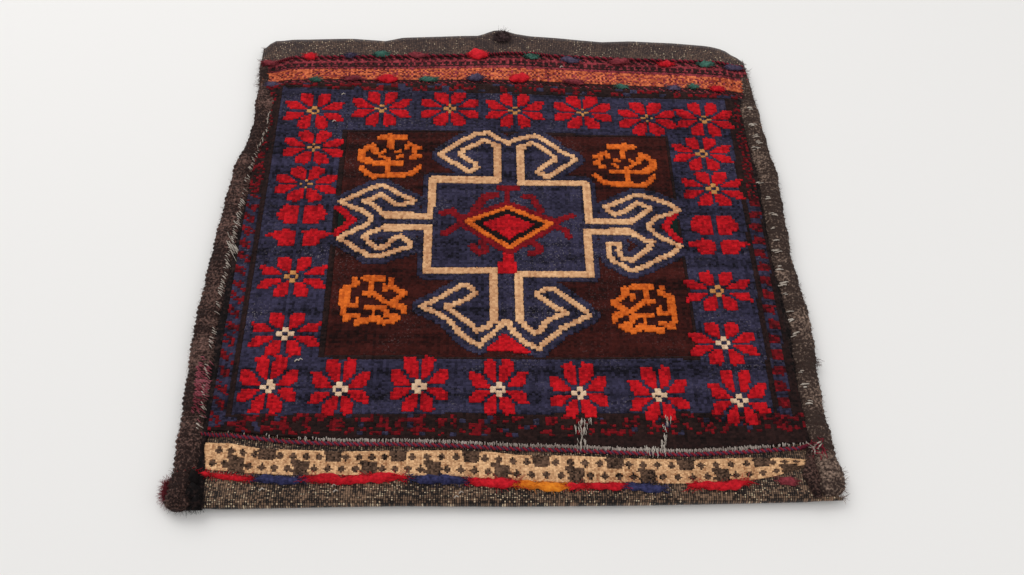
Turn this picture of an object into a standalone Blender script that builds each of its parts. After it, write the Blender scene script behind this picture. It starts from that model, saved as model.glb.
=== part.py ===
"""A small hand-knotted bag, lying flat with its pile front up.

One woven length is folded at the near edge (-Y) and bound at both sides with wound goat hair, so the
mouth is at the far edge (+Y).  The pile is built as the weaver's fields of colour: a low ground of navy
and brown wool, with the cream, red and orange motifs standing a little proud of it.
The plan is drawn about the medallion's upright axis, and the finished bag is then moved so that its
origin is under the middle of its box.  Metres, +Z up.
"""
import bpy
import bmesh
from math import cos, pi, sin
from mathutils import Vector

MM = 0.001
GAP = 0.3 * MM               # clearance between pieces that touch on the real bag

# Cloth
CLOTH_THICK = 2.2 * MM
POCKET_GAP = 8.0 * MM        # air between the back and the front
PINCH_GAP = 0.6 * MM         # the same at the bound edges
FOLD_STEPS = 6
MOUTH_BULGE = 18 * MM        # how far the mouth bows out in the middle
MOUTH_DEPTH = 67 * MM        # flat-woven band between the pile and the mouth
NEAR_DEPTH = 50 * MM         # flat-woven band between the pile and the fold, at its narrowest

# Pile
GROUND_PILE = 3.6 * MM       # navy and brown ground
MOTIF_PILE = 4.8 * MM        # cream, red and orange motifs
FLAT_WEAVE = 1.2 * MM        # brocade thickness

# Medallion, about its own centre
LINE_WIDTH = 8 * MM          # the cream line
FIELD_MARGIN = 3 * MM
DIAMOND_HALF = (45 * MM, 26 * MM)
DIAMOND_BAND = 5 * MM
SPRIG_INSET = (50 * MM, 34 * MM)   # sprig centre from the field's corner

# Border and guards
BORDER_SIDE = 66 * MM        # width of the flower columns
BORDER_END = 56 * MM         # height of the flower rows
FLOWERS_IN_ROW = 7
FLOWERS_IN_COLUMN = 5
FLOWER_SIZE = 54 * MM
GUARD_SIDE = 14 * MM
GUARD_FAR = 8 * MM
GUARD_NEAR = 35 * MM         # at its widest
GUARD_NEAR_RISE = 22 * MM    # how much higher the pile's near edge runs at the left

# Bindings
BINDING_THICK = 14 * MM
BINDING_WIDTH = 20 * MM
BINDING_WRAPS = 13
WRAP_SWELL = 0.7 * MM
EDGE_COVER = 7 * MM          # binding outside the cloth's edge

# Trim
CORD_THICK = 3.2 * MM
ROW_GAP = 1.0 * MM           # between the brocade and the cords on both sides of it
CREAM_BAND = 26 * MM
CREAM_PERIOD = 58 * MM
ROVING_WIDTH = 6 * MM
CHAIN_BAND = 9 * MM
ORANGE_BAND = 18 * MM
ORANGE_DIAMONDS = 14
TUFT_HEIGHT = 6 * MM
HAIR_HEIGHT = 5 * MM         # loose ends of the binding's hair
HAIR_INSET = 8 * MM          # from the binding's outer edge
TASSEL_WIDTH = 11 * MM
TASSEL_LENGTH = 24 * MM
TASSEL_HEIGHT = 9 * MM
TASSEL_TUCK = 1.2 * MM       # how far the tassel's foot reaches in under the binding's round side
MOUTH_TUFT = 16 * MM

# The medallion's cream line, right half, from the top valley round to the bottom apex (mm)
MEDALLION_LINE = [
    (0, 115), (27, 129), (72, 95), (41, 72), (32, 80), (51, 94), (27, 114), (14, 105), (14, 59), (80, 59),
    (80, 8), (123, 8), (140, 23), (128, 30), (107, 19), (97, 27), (131, 46), (165, 26), (148, 13), (141, 0),
    (148, -9), (165, -21), (137, -46), (120, -48), (99, -33), (100, -21), (111, -19), (118, -31), (130, -31),
    (137, -15), (124, -6), (80, -6), (80, -59), (13, -59), (13, -115), (26, -129), (42, -113), (58, -103),
    (30, -84), (44, -76), (80, -104), (54, -120), (28, -145), (0, -117),
]
# The outside of the navy around it, right half (mm)
HALO_EDGE = [
    (0, 124), (27, 138), (86, 95), (62, 74), (92, 71), (92, 42), (131, 57), (179, 25), (158, 9), (153, 0),
    (158, -7), (179, -20), (137, -58), (117, -59), (92, -42), (92, -71), (46, -66), (96, -104), (60, -130),
    (28, -157), (0, -130),
]
CHEVRON = [(178, 18), (163, 4), (178, -10), (171, -10), (156, 4), (171, 18)]
SPRIG_EDGE = [
    (0, 32), (14, 32), (14, 26), (3, 26), (3, -6), (13, -6), (26, 6), (20, 14), (15, 9), (10, 13), (15, 20),
    (25, 20), (33, 6), (15, -12), (3, -12), (3, -25), (14, -26), (30, -12), (36, -15), (16, -32), (0, -31),
]
# One quarter of an eight-petalled flower, from the crosswise notch to the upright one (mm)
PETAL_EDGE = [(9, 0), (26, 3), (26, 18), (9, 9), (15, 28), (3, 22)]
# Maroon hooks that grow from the diamond's rim, right half, about the diamond's centre (mm)
HOOK_EDGE = [
    (0, 49), (14, 49), (14, 43), (4, 43), (4, 31), (19, 24), (26, 38), (34, 34), (28, 18), (50, 6), (66, 18),
    (74, 14), (60, 0), (50, -5), (26, -19), (40, -26), (32, -34), (16, -26), (0, -34),
]
# How far the bindings' outer edges lie inside a straight side: (place along it from -1 to 1, mm)
LEFT_BOW = [(-1, -6), (-0.85, -2), (-0.35, -6), (0, -2), (0.2, 1), (0.4, 8), (0.55, 15), (0.85, 14), (1, 12)]
RIGHT_BOW = [(-1, 7), (-0.9, 1), (-0.75, 6), (-0.6, 5), (-0.35, 0), (-0.1, 5), (0.2, 2), (0.35, 0), (0.6, 5),
             (1, 10)]

# Tufts over the far band: (x, width, depth) in mm
UPPER_TUFTS = [(-224, 14, 11), (-178, 14, 8), (-143, 18, 11), (-102, 24, 9), (-32, 24, 16), (30, 16, 8),
               (74, 22, 10), (132, 24, 11), (185, 17, 10), (231, 17, 10)]
LOWER_TUFTS = [(-214, 12, 6), (-173, 20, 8), (-134, 24, 8), (-88, 20, 8), (-35, 18, 8), (15, 24, 8),
               (77, 24, 8), (131, 14, 8), (190, 16, 8), (232, 14, 8)]
# Where one length of roving ends and the next begins along the near band (mm)
ROVING_ENDS = [-247, -220, -180, -86, -42, -2, 42, 96, 130, 206]

WOOL = {
    "cloth": (0.115, 0.085, 0.07), "goat": (0.10, 0.075, 0.06), "brown": (0.075, 0.022, 0.018),
    "navy": (0.035, 0.036, 0.09), "cream": (0.70, 0.43, 0.20), "orange": (0.72, 0.17, 0.02),
    "black": (0.012, 0.009, 0.009), "red": (0.48, 0.012, 0.018), "maroon": (0.16, 0.012, 0.016),
    "dark": (0.025, 0.014, 0.013), "crimson": (0.26, 0.02, 0.028), "grey": (0.33, 0.29, 0.27),
}

# Heights above the floor
FRONT_TOP = CLOTH_THICK + POCKET_GAP + CLOTH_THICK
PILE_BASE = FRONT_TOP + GAP
GROUND_TOP = PILE_BASE + GROUND_PILE
MOTIF_TOP = PILE_BASE + MOTIF_PILE
WEAVE_TOP = PILE_BASE + FLAT_WEAVE
PINCH_MIDDLE = BINDING_THICK / 2
FRONT_DROP = FRONT_TOP - (PINCH_MIDDLE + PINCH_GAP / 2 + CLOTH_THICK)
BACK_RISE = PINCH_MIDDLE - PINCH_GAP / 2 - CLOTH_THICK

# Plan, about the medallion's centre
LINE_REACH = max(x for x, _ in HALO_EDGE) * MM
FIELD_HALF = LINE_REACH + FIELD_MARGIN
FIELD_FAR = max(y for _, y in HALO_EDGE) * MM + FIELD_MARGIN
FIELD_NEAR = min(y for _, y in HALO_EDGE) * MM - FIELD_MARGIN
FLAT_HALF = FIELD_HALF + GAP + BORDER_SIDE
BORDER_FAR = FIELD_FAR + GAP + BORDER_END
BORDER_NEAR = FIELD_NEAR - GAP - BORDER_END
PILE_FAR = BORDER_FAR + GAP + GUARD_FAR
PILE_NEAR = BORDER_NEAR - GAP - GUARD_NEAR
PINCH_HALF = FLAT_HALF + GAP + GUARD_SIDE + GAP
MOUTH_Y = PILE_FAR + MOUTH_DEPTH
FOLD_Y = PILE_NEAR - NEAR_DEPTH
BAR_NEAR = 59 * MM           # middle of the medallion's lower crossbar
NEAR_TURN = 0.57             # where the pile's near edge is lowest, as a share of the half width
SIDE_HALF = PINCH_HALF + BINDING_WIDTH + 6 * MM
BINDING_NEAR = FOLD_Y + 2 * MM
BINDING_FAR = MOUTH_Y - 4 * MM
WRAP_ENDS = [BINDING_NEAR + (BINDING_FAR - BINDING_NEAR) * i / BINDING_WRAPS for i in range(BINDING_WRAPS + 1)]


def between(points, at):
    """Read a broken line given as (place, value) pairs."""
    for (a, low), (b, high) in zip(points, points[1:]):
        if at <= b:
            return low + (high - low) * (at - a) / (b - a)
    return points[-1][1]


def front_drop(x):
    """How far the front cloth has come down towards the pinched edge."""
    share = (abs(x) - FLAT_HALF) / (PINCH_HALF - FLAT_HALF)
    return FRONT_DROP * min(max(share, 0.0), 1.0)


def far_row(x, y):
    """Rows of the far band bow out with the mouth."""
    share = (y - PILE_FAR) / MOUTH_DEPTH
    return y + share * MOUTH_BULGE * 0.5 * (1 + cos(pi * min(abs(x) / PINCH_HALF, 1.0)))


def near_edge(x):
    """The pile's near edge climbs towards the left."""
    return PILE_NEAR + between([(-PINCH_HALF, GUARD_NEAR_RISE), (PINCH_HALF * NEAR_TURN, 0.0),
                                (PINCH_HALF, 4 * MM)], x)


def side_edge(side, y):
    """Outer edge of a binding: a straight side with the bow that handling gave it, read at each wrap."""
    bow = LEFT_BOW if side < 0 else RIGHT_BOW
    inset = [(end, between(bow, 2 * i / BINDING_WRAPS - 1) * MM) for i, end in enumerate(WRAP_ENDS)]
    return SIDE_HALF - between(inset, min(max(y, BINDING_NEAR), BINDING_FAR))


def mirrored(half):
    """Close a right half that starts and ends on the axis."""
    left = [(-x, y) for x, y in reversed(half[1:-1])]
    return [(x * MM, y * MM) for x, y in half + left]


def offset(loop, distance):
    """Move each side of a closed loop outwards (or inwards, if negative), with mitred corners."""
    area = sum(a[0] * b[1] - b[0] * a[1] for a, b in zip(loop, loop[1:] + loop[:1]))
    turn = 1 if area > 0 else -1
    moved = []
    for i, here in enumerate(loop):
        before, after = Vector(loop[i - 1]), Vector(loop[(i + 1) % len(loop)])
        here = Vector(here)
        first = (here - before).normalized()
        second = (after - here).normalized()
        first_out = Vector((first.y, -first.x)) * turn
        second_out = Vector((second.y, -second.x)) * turn
        middle = (first_out + second_out).normalized()
        reach = distance / max(middle.dot(first_out), 0.35)
        moved.append(tuple(here + middle * reach))
    return moved


def placed(shape, x, y, across=1.0, up=1.0):
    """A motif drawn in mm, placed by its centre, with mirrored copies by negative factors."""
    return [(x + px * MM * across, y + py * MM * up) for px, py in shape]


def box_loop(x0, x1, y0, y1):
    return [(x0, y0), (x1, y0), (x1, y1), (x0, y1)]


def strip_loop(row, low, high, reach, steps):
    """A band across the bag between two rows that follow the weave."""
    across = [-reach + 2 * reach * i / steps for i in range(steps + 1)]
    return [(x, row(x, low)) for x in across] + [(x, row(x, high)) for x in reversed(across)]


def wool(colour, piece):
    """Dyed wool, one material for each piece."""
    made = bpy.data.materials.new(f"{colour}_{piece}")
    made.use_nodes = True
    shader = made.node_tree.nodes["Principled BSDF"]
    shader.inputs["Base Color"].default_value = (*WOOL[colour], 1.0)
    shader.inputs["Roughness"].default_value = 0.9
    shader.inputs["Metallic"].default_value = 0.0
    return made


def keep(obj, colour):
    """Put a finished piece in the bag's collection, with a wool of its own."""
    for home in list(obj.users_collection):
        home.objects.unlink(obj)
    bpy.data.collections["hand_knotted_bag"].objects.link(obj)
    obj.data.materials.clear()
    obj.data.materials.append(wool(colour, obj.name))
    return obj


def mesh_object(name, bm, colour):
    """Finish a bmesh as a closed piece with its faces out."""
    bmesh.ops.remove_doubles(bm, verts=bm.verts, dist=1e-6)
    bmesh.ops.recalc_face_normals(bm, faces=bm.faces)
    mesh = bpy.data.meshes.new(name)
    bm.to_mesh(mesh)
    bm.free()
    return keep(bpy.data.objects.new(name, mesh), colour)


def slab(name, loops, bottom, top, colour):
    """Flat areas of one wool: closed loops filled as a 2D curve, loops inside loops being holes."""
    curve = bpy.data.curves.new(name, "CURVE")
    curve.dimensions = "2D"
    curve.fill_mode = "BOTH"
    curve.extrude = (top - bottom) / 2
    for loop in loops:
        spline = curve.splines.new("POLY")
        spline.points.add(len(loop) - 1)
        for point, (x, y) in zip(spline.points, loop):
            point.co = (x, y, 0, 1)
        spline.use_cyclic_u = True
    drawn = bpy.data.objects.new(name + "_outline", curve)
    bpy.context.scene.collection.objects.link(drawn)
    filled = drawn.evaluated_get(bpy.context.evaluated_depsgraph_get())
    bm = bmesh.new()
    mesh = bpy.data.meshes.new_from_object(filled)
    bm.from_mesh(mesh)
    bpy.data.objects.remove(drawn)
    bpy.data.meshes.remove(mesh)
    for vertex in bm.verts:
        vertex.co.z += (top + bottom) / 2 - front_drop(vertex.co.x)
    return mesh_object(name, bm, colour)


def mounds(places):
    """Cut tufts: six-sided mounds, each (x, y, width, depth, bottom, height)."""
    bm = bmesh.new()
    for x, y, width, depth, bottom, height in places:
        made = bmesh.ops.create_cone(bm, cap_ends=True, segments=6, radius1=0.5, radius2=0.3, depth=1.0)
        bmesh.ops.scale(bm, vec=(width, depth, height), verts=made["verts"])
        bmesh.ops.translate(bm, vec=(x, y, bottom + height / 2), verts=made["verts"])
    return bm


def fuse(piece, places):
    """Join a row of tufts to the piece that they are tied into."""
    tufts = mesh_object(piece.name + "_tufts", mounds(places), "maroon")
    bpy.data.collections["hand_knotted_bag"].objects.unlink(tufts)
    bpy.data.collections["cutters"].objects.link(tufts)
    tufts.hide_render = True
    tufts.display_type = "WIRE"
    union = piece.modifiers.new("tufts", "BOOLEAN")
    union.operation = "UNION"
    union.object = tufts


def tube(name, points, thick, colour, swell=None):
    """A cord or roving: a bevelled line with filled caps, thicker where swell says so."""
    curve = bpy.data.curves.new(name + "_line", "CURVE")
    curve.dimensions = "3D"
    curve.bevel_depth = thick / 2
    curve.bevel_resolution = 1
    curve.use_fill_caps = True
    spline = curve.splines.new("POLY")
    spline.points.add(len(points) - 1)
    for i, (point, place) in enumerate(zip(spline.points, points)):
        point.co = (*place, 1)
        point.radius = swell[i] if swell else 1.0
    drawn = bpy.data.objects.new(name + "_line", curve)
    bpy.context.scene.collection.objects.link(drawn)
    round_line = drawn.evaluated_get(bpy.context.evaluated_depsgraph_get())
    mesh = bpy.data.meshes.new_from_object(round_line)
    bm = bmesh.new()
    bm.from_mesh(mesh)
    bpy.data.objects.remove(drawn)
    bpy.data.meshes.remove(mesh)
    return mesh_object(name, bm, colour)


def cloth_section(x):
    """Middle line of the folded cloth at one place across the bag, from the back's mouth round the fold
    to the front's mouth, as (y, z)."""
    share = min(max((abs(x) - FLAT_HALF) / (PINCH_HALF - FLAT_HALF), 0.0), 1.0)
    back = CLOTH_THICK / 2 + BACK_RISE * share
    front = FRONT_TOP - CLOTH_THICK / 2 - FRONT_DROP * share
    radius = (front - back) / 2
    centre_y = FOLD_Y + CLOTH_THICK / 2 + radius
    mouth = far_row(x, MOUTH_Y)
    section = [(mouth, back)] + [(y, back) for y in reversed(WRAP_ENDS[1:-1])]
    for i in range(FOLD_STEPS + 1):
        turn = -pi / 2 - pi * i / FOLD_STEPS
        section.append((centre_y + radius * cos(turn), (front + back) / 2 + radius * sin(turn)))
    return section + [(y, front) for y in WRAP_ENDS[1:-1]] + [(mouth, front)]


def bag_cloth():
    """One length of cloth, folded at the near edge, thickened from its middle surface."""
    inner = [FLAT_HALF * i / 5 for i in range(-5, 6)]
    columns = [-1, -PINCH_HALF] + inner + [PINCH_HALF, 1]
    bm = bmesh.new()
    rows = []
    for x in columns:
        edge = abs(x) == 1
        section = cloth_section(x * PINCH_HALF if edge else x)
        line = []
        for y, z in section:
            place = x * (side_edge(x, y) - EDGE_COVER) if edge else x
            line.append(bm.verts.new((place, y, z)))
        rows.append(line)
    for left, right in zip(rows, rows[1:]):
        for i in range(len(left) - 1):
            bm.faces.new((left[i], right[i], right[i + 1], left[i + 1]))
    cloth = mesh_object("bag_cloth", bm, "cloth")
    shell = cloth.modifiers.new("thickness", "SOLIDIFY")
    shell.thickness = CLOTH_THICK
    shell.offset = 0
    shell.use_even_offset = True
    return cloth


def binding(name, side):
    """Goat hair wound over the pinched edges: a rope with a slot for the cloth, drawn along the side by
    extruding its section from station to station."""
    slot = CLOTH_THICK + PINCH_GAP / 2 + GAP
    middle = BINDING_THICK / 2

    def section(y, swell):
        outer = side_edge(side, y) + swell
        inner = max(outer - BINDING_WIDTH, PINCH_HALF + GAP)
        wide = outer - inner
        deep = wide - EDGE_COVER + GAP - swell
        tall = middle + swell * 0.5
        shape = [
            (0, slot), (deep, slot), (deep, -slot), (0, -slot), (0, -0.72 * middle),
            (0.14 * wide, -0.93 * middle), (0.32 * wide, -middle), (0.66 * wide, -middle),
            (0.9 * wide, -0.7 * middle), (wide, 0), (0.9 * wide, 0.7 * tall), (0.66 * wide, tall),
            (0.32 * wide, tall), (0, 0.76 * tall),
        ]
        return [Vector((side * (inner + u), y, middle + v)) for u, v in shape]

    steps = 2 * BINDING_WRAPS
    length = BINDING_FAR - BINDING_NEAR
    bm = bmesh.new()
    ring = [bm.verts.new(place) for place in section(BINDING_NEAR, -WRAP_SWELL)]
    face = bm.faces.new(ring)
    for i in range(1, steps + 1):
        grown = bmesh.ops.extrude_discrete_faces(bm, faces=[face])
        face = grown["faces"][0]
        swell = WRAP_SWELL if i % 2 else -WRAP_SWELL
        for vertex, place in zip(face.verts, section(BINDING_NEAR + length * i / steps, swell)):
            vertex.co = place
    bm.faces.new(ring)
    rope = mesh_object(name, bm, "goat")
    tuft_y = BINDING_FAR - 34 * MM if side < 0 else BINDING_NEAR + 136 * MM
    fuse(rope, [(side * (side_edge(side, tuft_y) - HAIR_INSET), tuft_y, 8 * MM, 12 * MM,
                 BINDING_THICK - HAIR_HEIGHT / 2, HAIR_HEIGHT)])
    return rope


def medallion():
    """The hooked cream line, the navy inside and around it, and the brown field that it lies in."""
    line = mirrored(MEDALLION_LINE)
    halo = mirrored(HALO_EDGE)
    outer = offset(line, LINE_WIDTH / 2)
    inner = offset(line, -LINE_WIDTH / 2)
    wide, tall = DIAMOND_HALF
    diamond = [(wide, 0), (0, tall), (-wide, 0), (0, -tall)]
    black = offset(diamond, -DIAMOND_BAND)
    red = offset(black, -DIAMOND_BAND * 1.3)
    slab("pile_medallion_line", [outer, inner], PILE_BASE, MOTIF_TOP, "cream")
    slab("pile_medallion_halo", [halo, offset(outer, GAP)], PILE_BASE, GROUND_TOP, "navy")
    slab("pile_medallion_ground", [offset(inner, -GAP), offset(diamond, GAP)], PILE_BASE, GROUND_TOP, "navy")
    slab("pile_diamond_rim", [diamond, offset(black, GAP)], PILE_BASE, MOTIF_TOP, "orange")
    slab("pile_diamond_band", [black, offset(red, GAP)], PILE_BASE, GROUND_TOP, "black")
    slab("pile_diamond_heart", [red], PILE_BASE, MOTIF_TOP, "red")
    field = box_loop(-FIELD_HALF, FIELD_HALF, FIELD_NEAR, FIELD_FAR)
    slab("pile_field", [field, offset(halo, GAP)], PILE_BASE, GROUND_TOP, "brown")


def motif(name, loops, colour):
    """A small motif that stands on the ground pile."""
    slab(name, loops, GROUND_TOP + GAP, MOTIF_TOP, colour)


def motifs():
    """The hooks around the diamond, the red accents and the corner sprigs."""
    wide, tall = DIAMOND_HALF
    rim = offset([(wide, 0), (0, tall), (-wide, 0), (0, -tall)], 2 * MM)
    motif("pile_diamond_hooks", [mirrored(HOOK_EDGE), rim], "maroon")
    foot = BAR_NEAR - LINE_WIDTH / 2
    motif("pile_diamond_stem", [[(-8 * MM, -foot), (8 * MM, -foot), (8 * MM, 18 * MM - foot),
                                 (4 * MM, 18 * MM - foot), (4 * MM, -36 * MM), (-4 * MM, -36 * MM),
                                 (-4 * MM, 18 * MM - foot), (-8 * MM, 18 * MM - foot)]], "red")
    motif("pile_triangle", [[(0, -131 * MM), (-17 * MM, -150 * MM), (17 * MM, -150 * MM)]], "red")
    for side, name in ((-1, "left"), (1, "right")):
        motif(f"pile_chevron_{name}", [placed(CHEVRON, 0, 0, side)], "red")
        x = side * (FIELD_HALF - SPRIG_INSET[0])
        sprig = SPRIG_EDGE + [(-px, py) for px, py in reversed(SPRIG_EDGE[1:-1])]
        motif(f"pile_sprig_far_{name}", [placed(sprig, x, FIELD_FAR - SPRIG_INSET[1])], "orange")
        motif(f"pile_sprig_near_{name}", [placed(sprig, x, FIELD_NEAR + SPRIG_INSET[1], 1, -1)], "orange")


def flower(name, x, y, tall):
    """Eight petals about one heart: the quarter turned over into all four corners."""
    size = FLOWER_SIZE / (2 * max(px for px, _ in PETAL_EDGE) * MM)
    quarter = PETAL_EDGE + [(0, 9)]
    loop = []
    for across, up in ((1, 1), (-1, 1), (-1, -1), (1, -1)):
        points = [(px * across, py * up) for px, py in quarter]
        loop += points[:-1] if across * up > 0 else points[:0:-1]
    motif(name, [placed(loop, x, y, size, size * tall)], "red")


def border():
    """The navy border with its ring of flowers."""
    outer = box_loop(-FLAT_HALF, FLAT_HALF, BORDER_NEAR, BORDER_FAR)
    inner = box_loop(-FIELD_HALF - GAP, FIELD_HALF + GAP, FIELD_NEAR - GAP, FIELD_FAR + GAP)
    slab("pile_border", [outer, inner], PILE_BASE, GROUND_TOP, "navy")
    row_step = 2 * (FLAT_HALF - FLOWER_SIZE * 0.62) / (FLOWERS_IN_ROW - 1)
    for i in range(FLOWERS_IN_ROW):
        x = row_step * (i - (FLOWERS_IN_ROW - 1) / 2)
        flower(f"pile_flower_far_{i + 1}", x, (FIELD_FAR + BORDER_FAR) / 2, 0.95)
        flower(f"pile_flower_near_{i + 1}", x, (FIELD_NEAR + BORDER_NEAR) / 2, 0.95)
    side = (FIELD_HALF + FLAT_HALF) / 2
    step = (FIELD_FAR - FIELD_NEAR) / FLOWERS_IN_COLUMN
    for i in range(FLOWERS_IN_COLUMN):
        y = FIELD_FAR - step * (i + 0.5)
        flower(f"pile_flower_left_{i + 1}", -side, y, 0.84)
        flower(f"pile_flower_right_{i + 1}", side, y, 0.84)


def guards():
    """Dark stripes on all four sides of the border."""
    start = FLAT_HALF + GAP
    end = start + GUARD_SIDE
    turn = PINCH_HALF * NEAR_TURN
    slab("pile_guard_near", [[(-FLAT_HALF, near_edge(-FLAT_HALF)), (turn, near_edge(turn)),
                              (FLAT_HALF, near_edge(FLAT_HALF)), (FLAT_HALF, BORDER_NEAR - GAP),
                              (-FLAT_HALF, BORDER_NEAR - GAP)]], PILE_BASE, GROUND_TOP, "dark")
    slab("pile_guard_far", [box_loop(-FLAT_HALF, FLAT_HALF, BORDER_FAR + GAP, PILE_FAR)], PILE_BASE,
         GROUND_TOP, "dark")
    for side, name in ((-1, "left"), (1, "right")):
        slab(f"pile_guard_{name}", [[(side * start, near_edge(side * start)),
                                     (side * end, near_edge(side * end)), (side * end, PILE_FAR),
                                     (side * start, PILE_FAR)]], PILE_BASE, GROUND_TOP, "dark")


def near_band():
    """The flat-woven band by the fold: twined cord, pale warp ends, cream brocade and the roving row."""
    height = PILE_BASE + CORD_THICK / 2
    across = (-FLAT_HALF, PINCH_HALF * NEAR_TURN, FLAT_HALF)
    cord_y = CORD_THICK / 2 + GAP
    tube("near_twined_cord", [(x, near_edge(x) - cord_y, height) for x in across], CORD_THICK, "crimson")
    warp_y = cord_y + CORD_THICK + GAP
    tube("near_warp_ends", [(x, near_edge(x) - warp_y, height) for x in across], CORD_THICK, "grey")
    top_y = warp_y + CORD_THICK / 2 + ROW_GAP
    periods = int(2 * FLAT_HALF / CREAM_PERIOD)
    depth = 0.42 * CREAM_BAND
    far_side, near_side = [], []
    for i in range(periods):
        x = (i - periods / 2) * CREAM_PERIOD
        far_side += [(x + 0.38 * CREAM_PERIOD, 0), (x + 0.41 * CREAM_PERIOD, depth),
                     (x + 0.59 * CREAM_PERIOD, depth), (x + 0.65 * CREAM_PERIOD, 0)]
        near_side += [(x + 0.76 * CREAM_PERIOD, 0), (x + 0.76 * CREAM_PERIOD, depth),
                      (x + 0.97 * CREAM_PERIOD, depth), (x + 0.97 * CREAM_PERIOD, 0)]
    end = periods * CREAM_PERIOD / 2
    far_side = [(-end, 0)] + far_side + [(end, 0)]
    near_side = [(-end, 0)] + near_side + [(end, 0)]
    loop = [(x, near_edge(x) - top_y - dy) for x, dy in far_side]
    loop += [(x, near_edge(x) - top_y - CREAM_BAND + dy) for x, dy in reversed(near_side)]
    slab("near_brocade", [loop], PILE_BASE, WEAVE_TOP, "cream")
    roving_y = top_y + CREAM_BAND + ROVING_WIDTH / 2 + ROW_GAP
    points, swell = [], []
    for a, b in zip(ROVING_ENDS, ROVING_ENDS[1:]):
        for share, size in ((0.0, 0.55), (0.25, 1.0), (0.75, 1.0)):
            x = (a + (b - a) * share) * MM
            points.append((x, near_edge(x) - roving_y, PILE_BASE + ROVING_WIDTH / 2))
            swell.append(size)
    tube("near_roving_row", points, ROVING_WIDTH, "red", swell)


def far_band():
    """The flat-woven band by the mouth: chain strips, orange diamonds, a cord and two rows of tufts."""
    start = PILE_FAR + GAP
    lower = (start, start + CHAIN_BAND)
    middle = (lower[1] + GAP, lower[1] + GAP + ORANGE_BAND)
    upper = (middle[1] + GAP, middle[1] + GAP + CHAIN_BAND)
    reach = FLAT_HALF
    steps = 10
    chain = slab("far_chain_lower", [strip_loop(far_row, *lower, reach, steps)], PILE_BASE, WEAVE_TOP,
                 "crimson")
    fuse(chain, [(x * MM, far_row(x * MM, sum(lower) / 2), wide * MM, deep * MM, PILE_BASE + GAP,
                  TUFT_HEIGHT) for x, wide, deep in LOWER_TUFTS])
    slab("far_brocade_ground", [strip_loop(far_row, *middle, reach, steps)], PILE_BASE, WEAVE_TOP, "maroon")
    slab("far_chain_upper", [strip_loop(far_row, *upper, reach, steps)], PILE_BASE, WEAVE_TOP, "crimson")
    step = 2 * reach / ORANGE_DIAMONDS
    high, low = [], []
    waist = 0.06 * ORANGE_BAND
    for i in range(ORANGE_DIAMONDS):
        x = -reach + step * (i + 0.5)
        y = sum(middle) / 2
        high += [(x - 0.49 * step, waist), (x, 0.4 * ORANGE_BAND), (x + 0.49 * step, waist)]
        low += [(x - 0.49 * step, -waist), (x, -0.4 * ORANGE_BAND), (x + 0.49 * step, -waist)]
    loop = [(x, far_row(x, y) + dy) for x, dy in high + low[::-1]]
    slab("far_brocade_diamonds", [loop], WEAVE_TOP + GAP, WEAVE_TOP + 3 * GAP, "orange")
    cord_y = upper[1] + GAP + CORD_THICK / 2
    across = [-reach + 2 * reach * i / 12 for i in range(13)]
    cord = tube("far_twined_cord", [(x, far_row(x, cord_y) + GAP, PILE_BASE + CORD_THICK / 2)
                                    for x in across], CORD_THICK, "crimson")
    fuse(cord, [(x * MM, far_row(x * MM, cord_y) + deep / 2 * MM, wide * MM, deep * MM, PILE_BASE,
                 TUFT_HEIGHT) for x, wide, deep in UPPER_TUFTS])


def loose_ends():
    """The corner tassel and the hair left at the mouth."""
    corner_y = BINDING_NEAR + TASSEL_LENGTH
    corner_x = -side_edge(-1, corner_y) - TASSEL_WIDTH / 2 + TASSEL_TUCK
    tassel = mounds([(corner_x, corner_y, TASSEL_WIDTH, TASSEL_LENGTH, 0, TASSEL_HEIGHT)])
    mesh_object("corner_tassel", tassel, "maroon")
    tuft_y = far_row(0, MOUTH_Y) - 0.6 * MOUTH_TUFT
    tuft = mounds([(0, tuft_y, MOUTH_TUFT, MOUTH_TUFT, PILE_BASE, HAIR_HEIGHT)])
    mesh_object("mouth_tuft", tuft, "goat")


def centre_on_origin():
    """Move the whole bag so that its origin is under the middle of its box."""
    bag = bpy.data.collections["hand_knotted_bag"]
    bpy.context.view_layer.update()
    graph = bpy.context.evaluated_depsgraph_get()
    corners = []
    for obj in bag.objects:
        shape = obj.evaluated_get(graph)
        corners += [shape.matrix_world @ Vector(corner) for corner in shape.bound_box]
    middle_x = (min(c.x for c in corners) + max(c.x for c in corners)) / 2
    middle_y = (min(c.y for c in corners) + max(c.y for c in corners)) / 2
    plan = bpy.data.objects.new("medallion_axis", None)
    bpy.context.scene.collection.objects.link(plan)
    for obj in list(bag.objects) + list(bpy.data.collections["cutters"].objects):
        obj.parent = plan
    plan.location = (-middle_x, -middle_y, 0)
    bpy.context.view_layer.update()


def main():
    for obj in list(bpy.data.objects):
        bpy.data.objects.remove(obj)
    for name in ("hand_knotted_bag", "cutters"):
        bpy.context.scene.collection.children.link(bpy.data.collections.new(name))
    bag_cloth()
    binding("left_side_binding", -1)
    binding("right_side_binding", 1)
    medallion()
    motifs()
    border()
    guards()
    near_band()
    far_band()
    loose_ends()
    centre_on_origin()


main()
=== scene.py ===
# %% [markdown]
# # A small hand-knotted bag, lying flat
#
# The bag is one woven length, folded at the near edge and bound at both sides with wound goat hair.  Its
# front carries a knotted pile with a hooked medallion.  This notebook dresses the plain CAD solids: every
# knot of the pile, the flat-woven bands, the cords, the tufts and the hair are modelled here.
# All measures are in millimetres as read on the bag in the photograph, and are turned to metres at the end.

# %% Load the fixed frame
import random
from math import cos, pi, radians, sin

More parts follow.
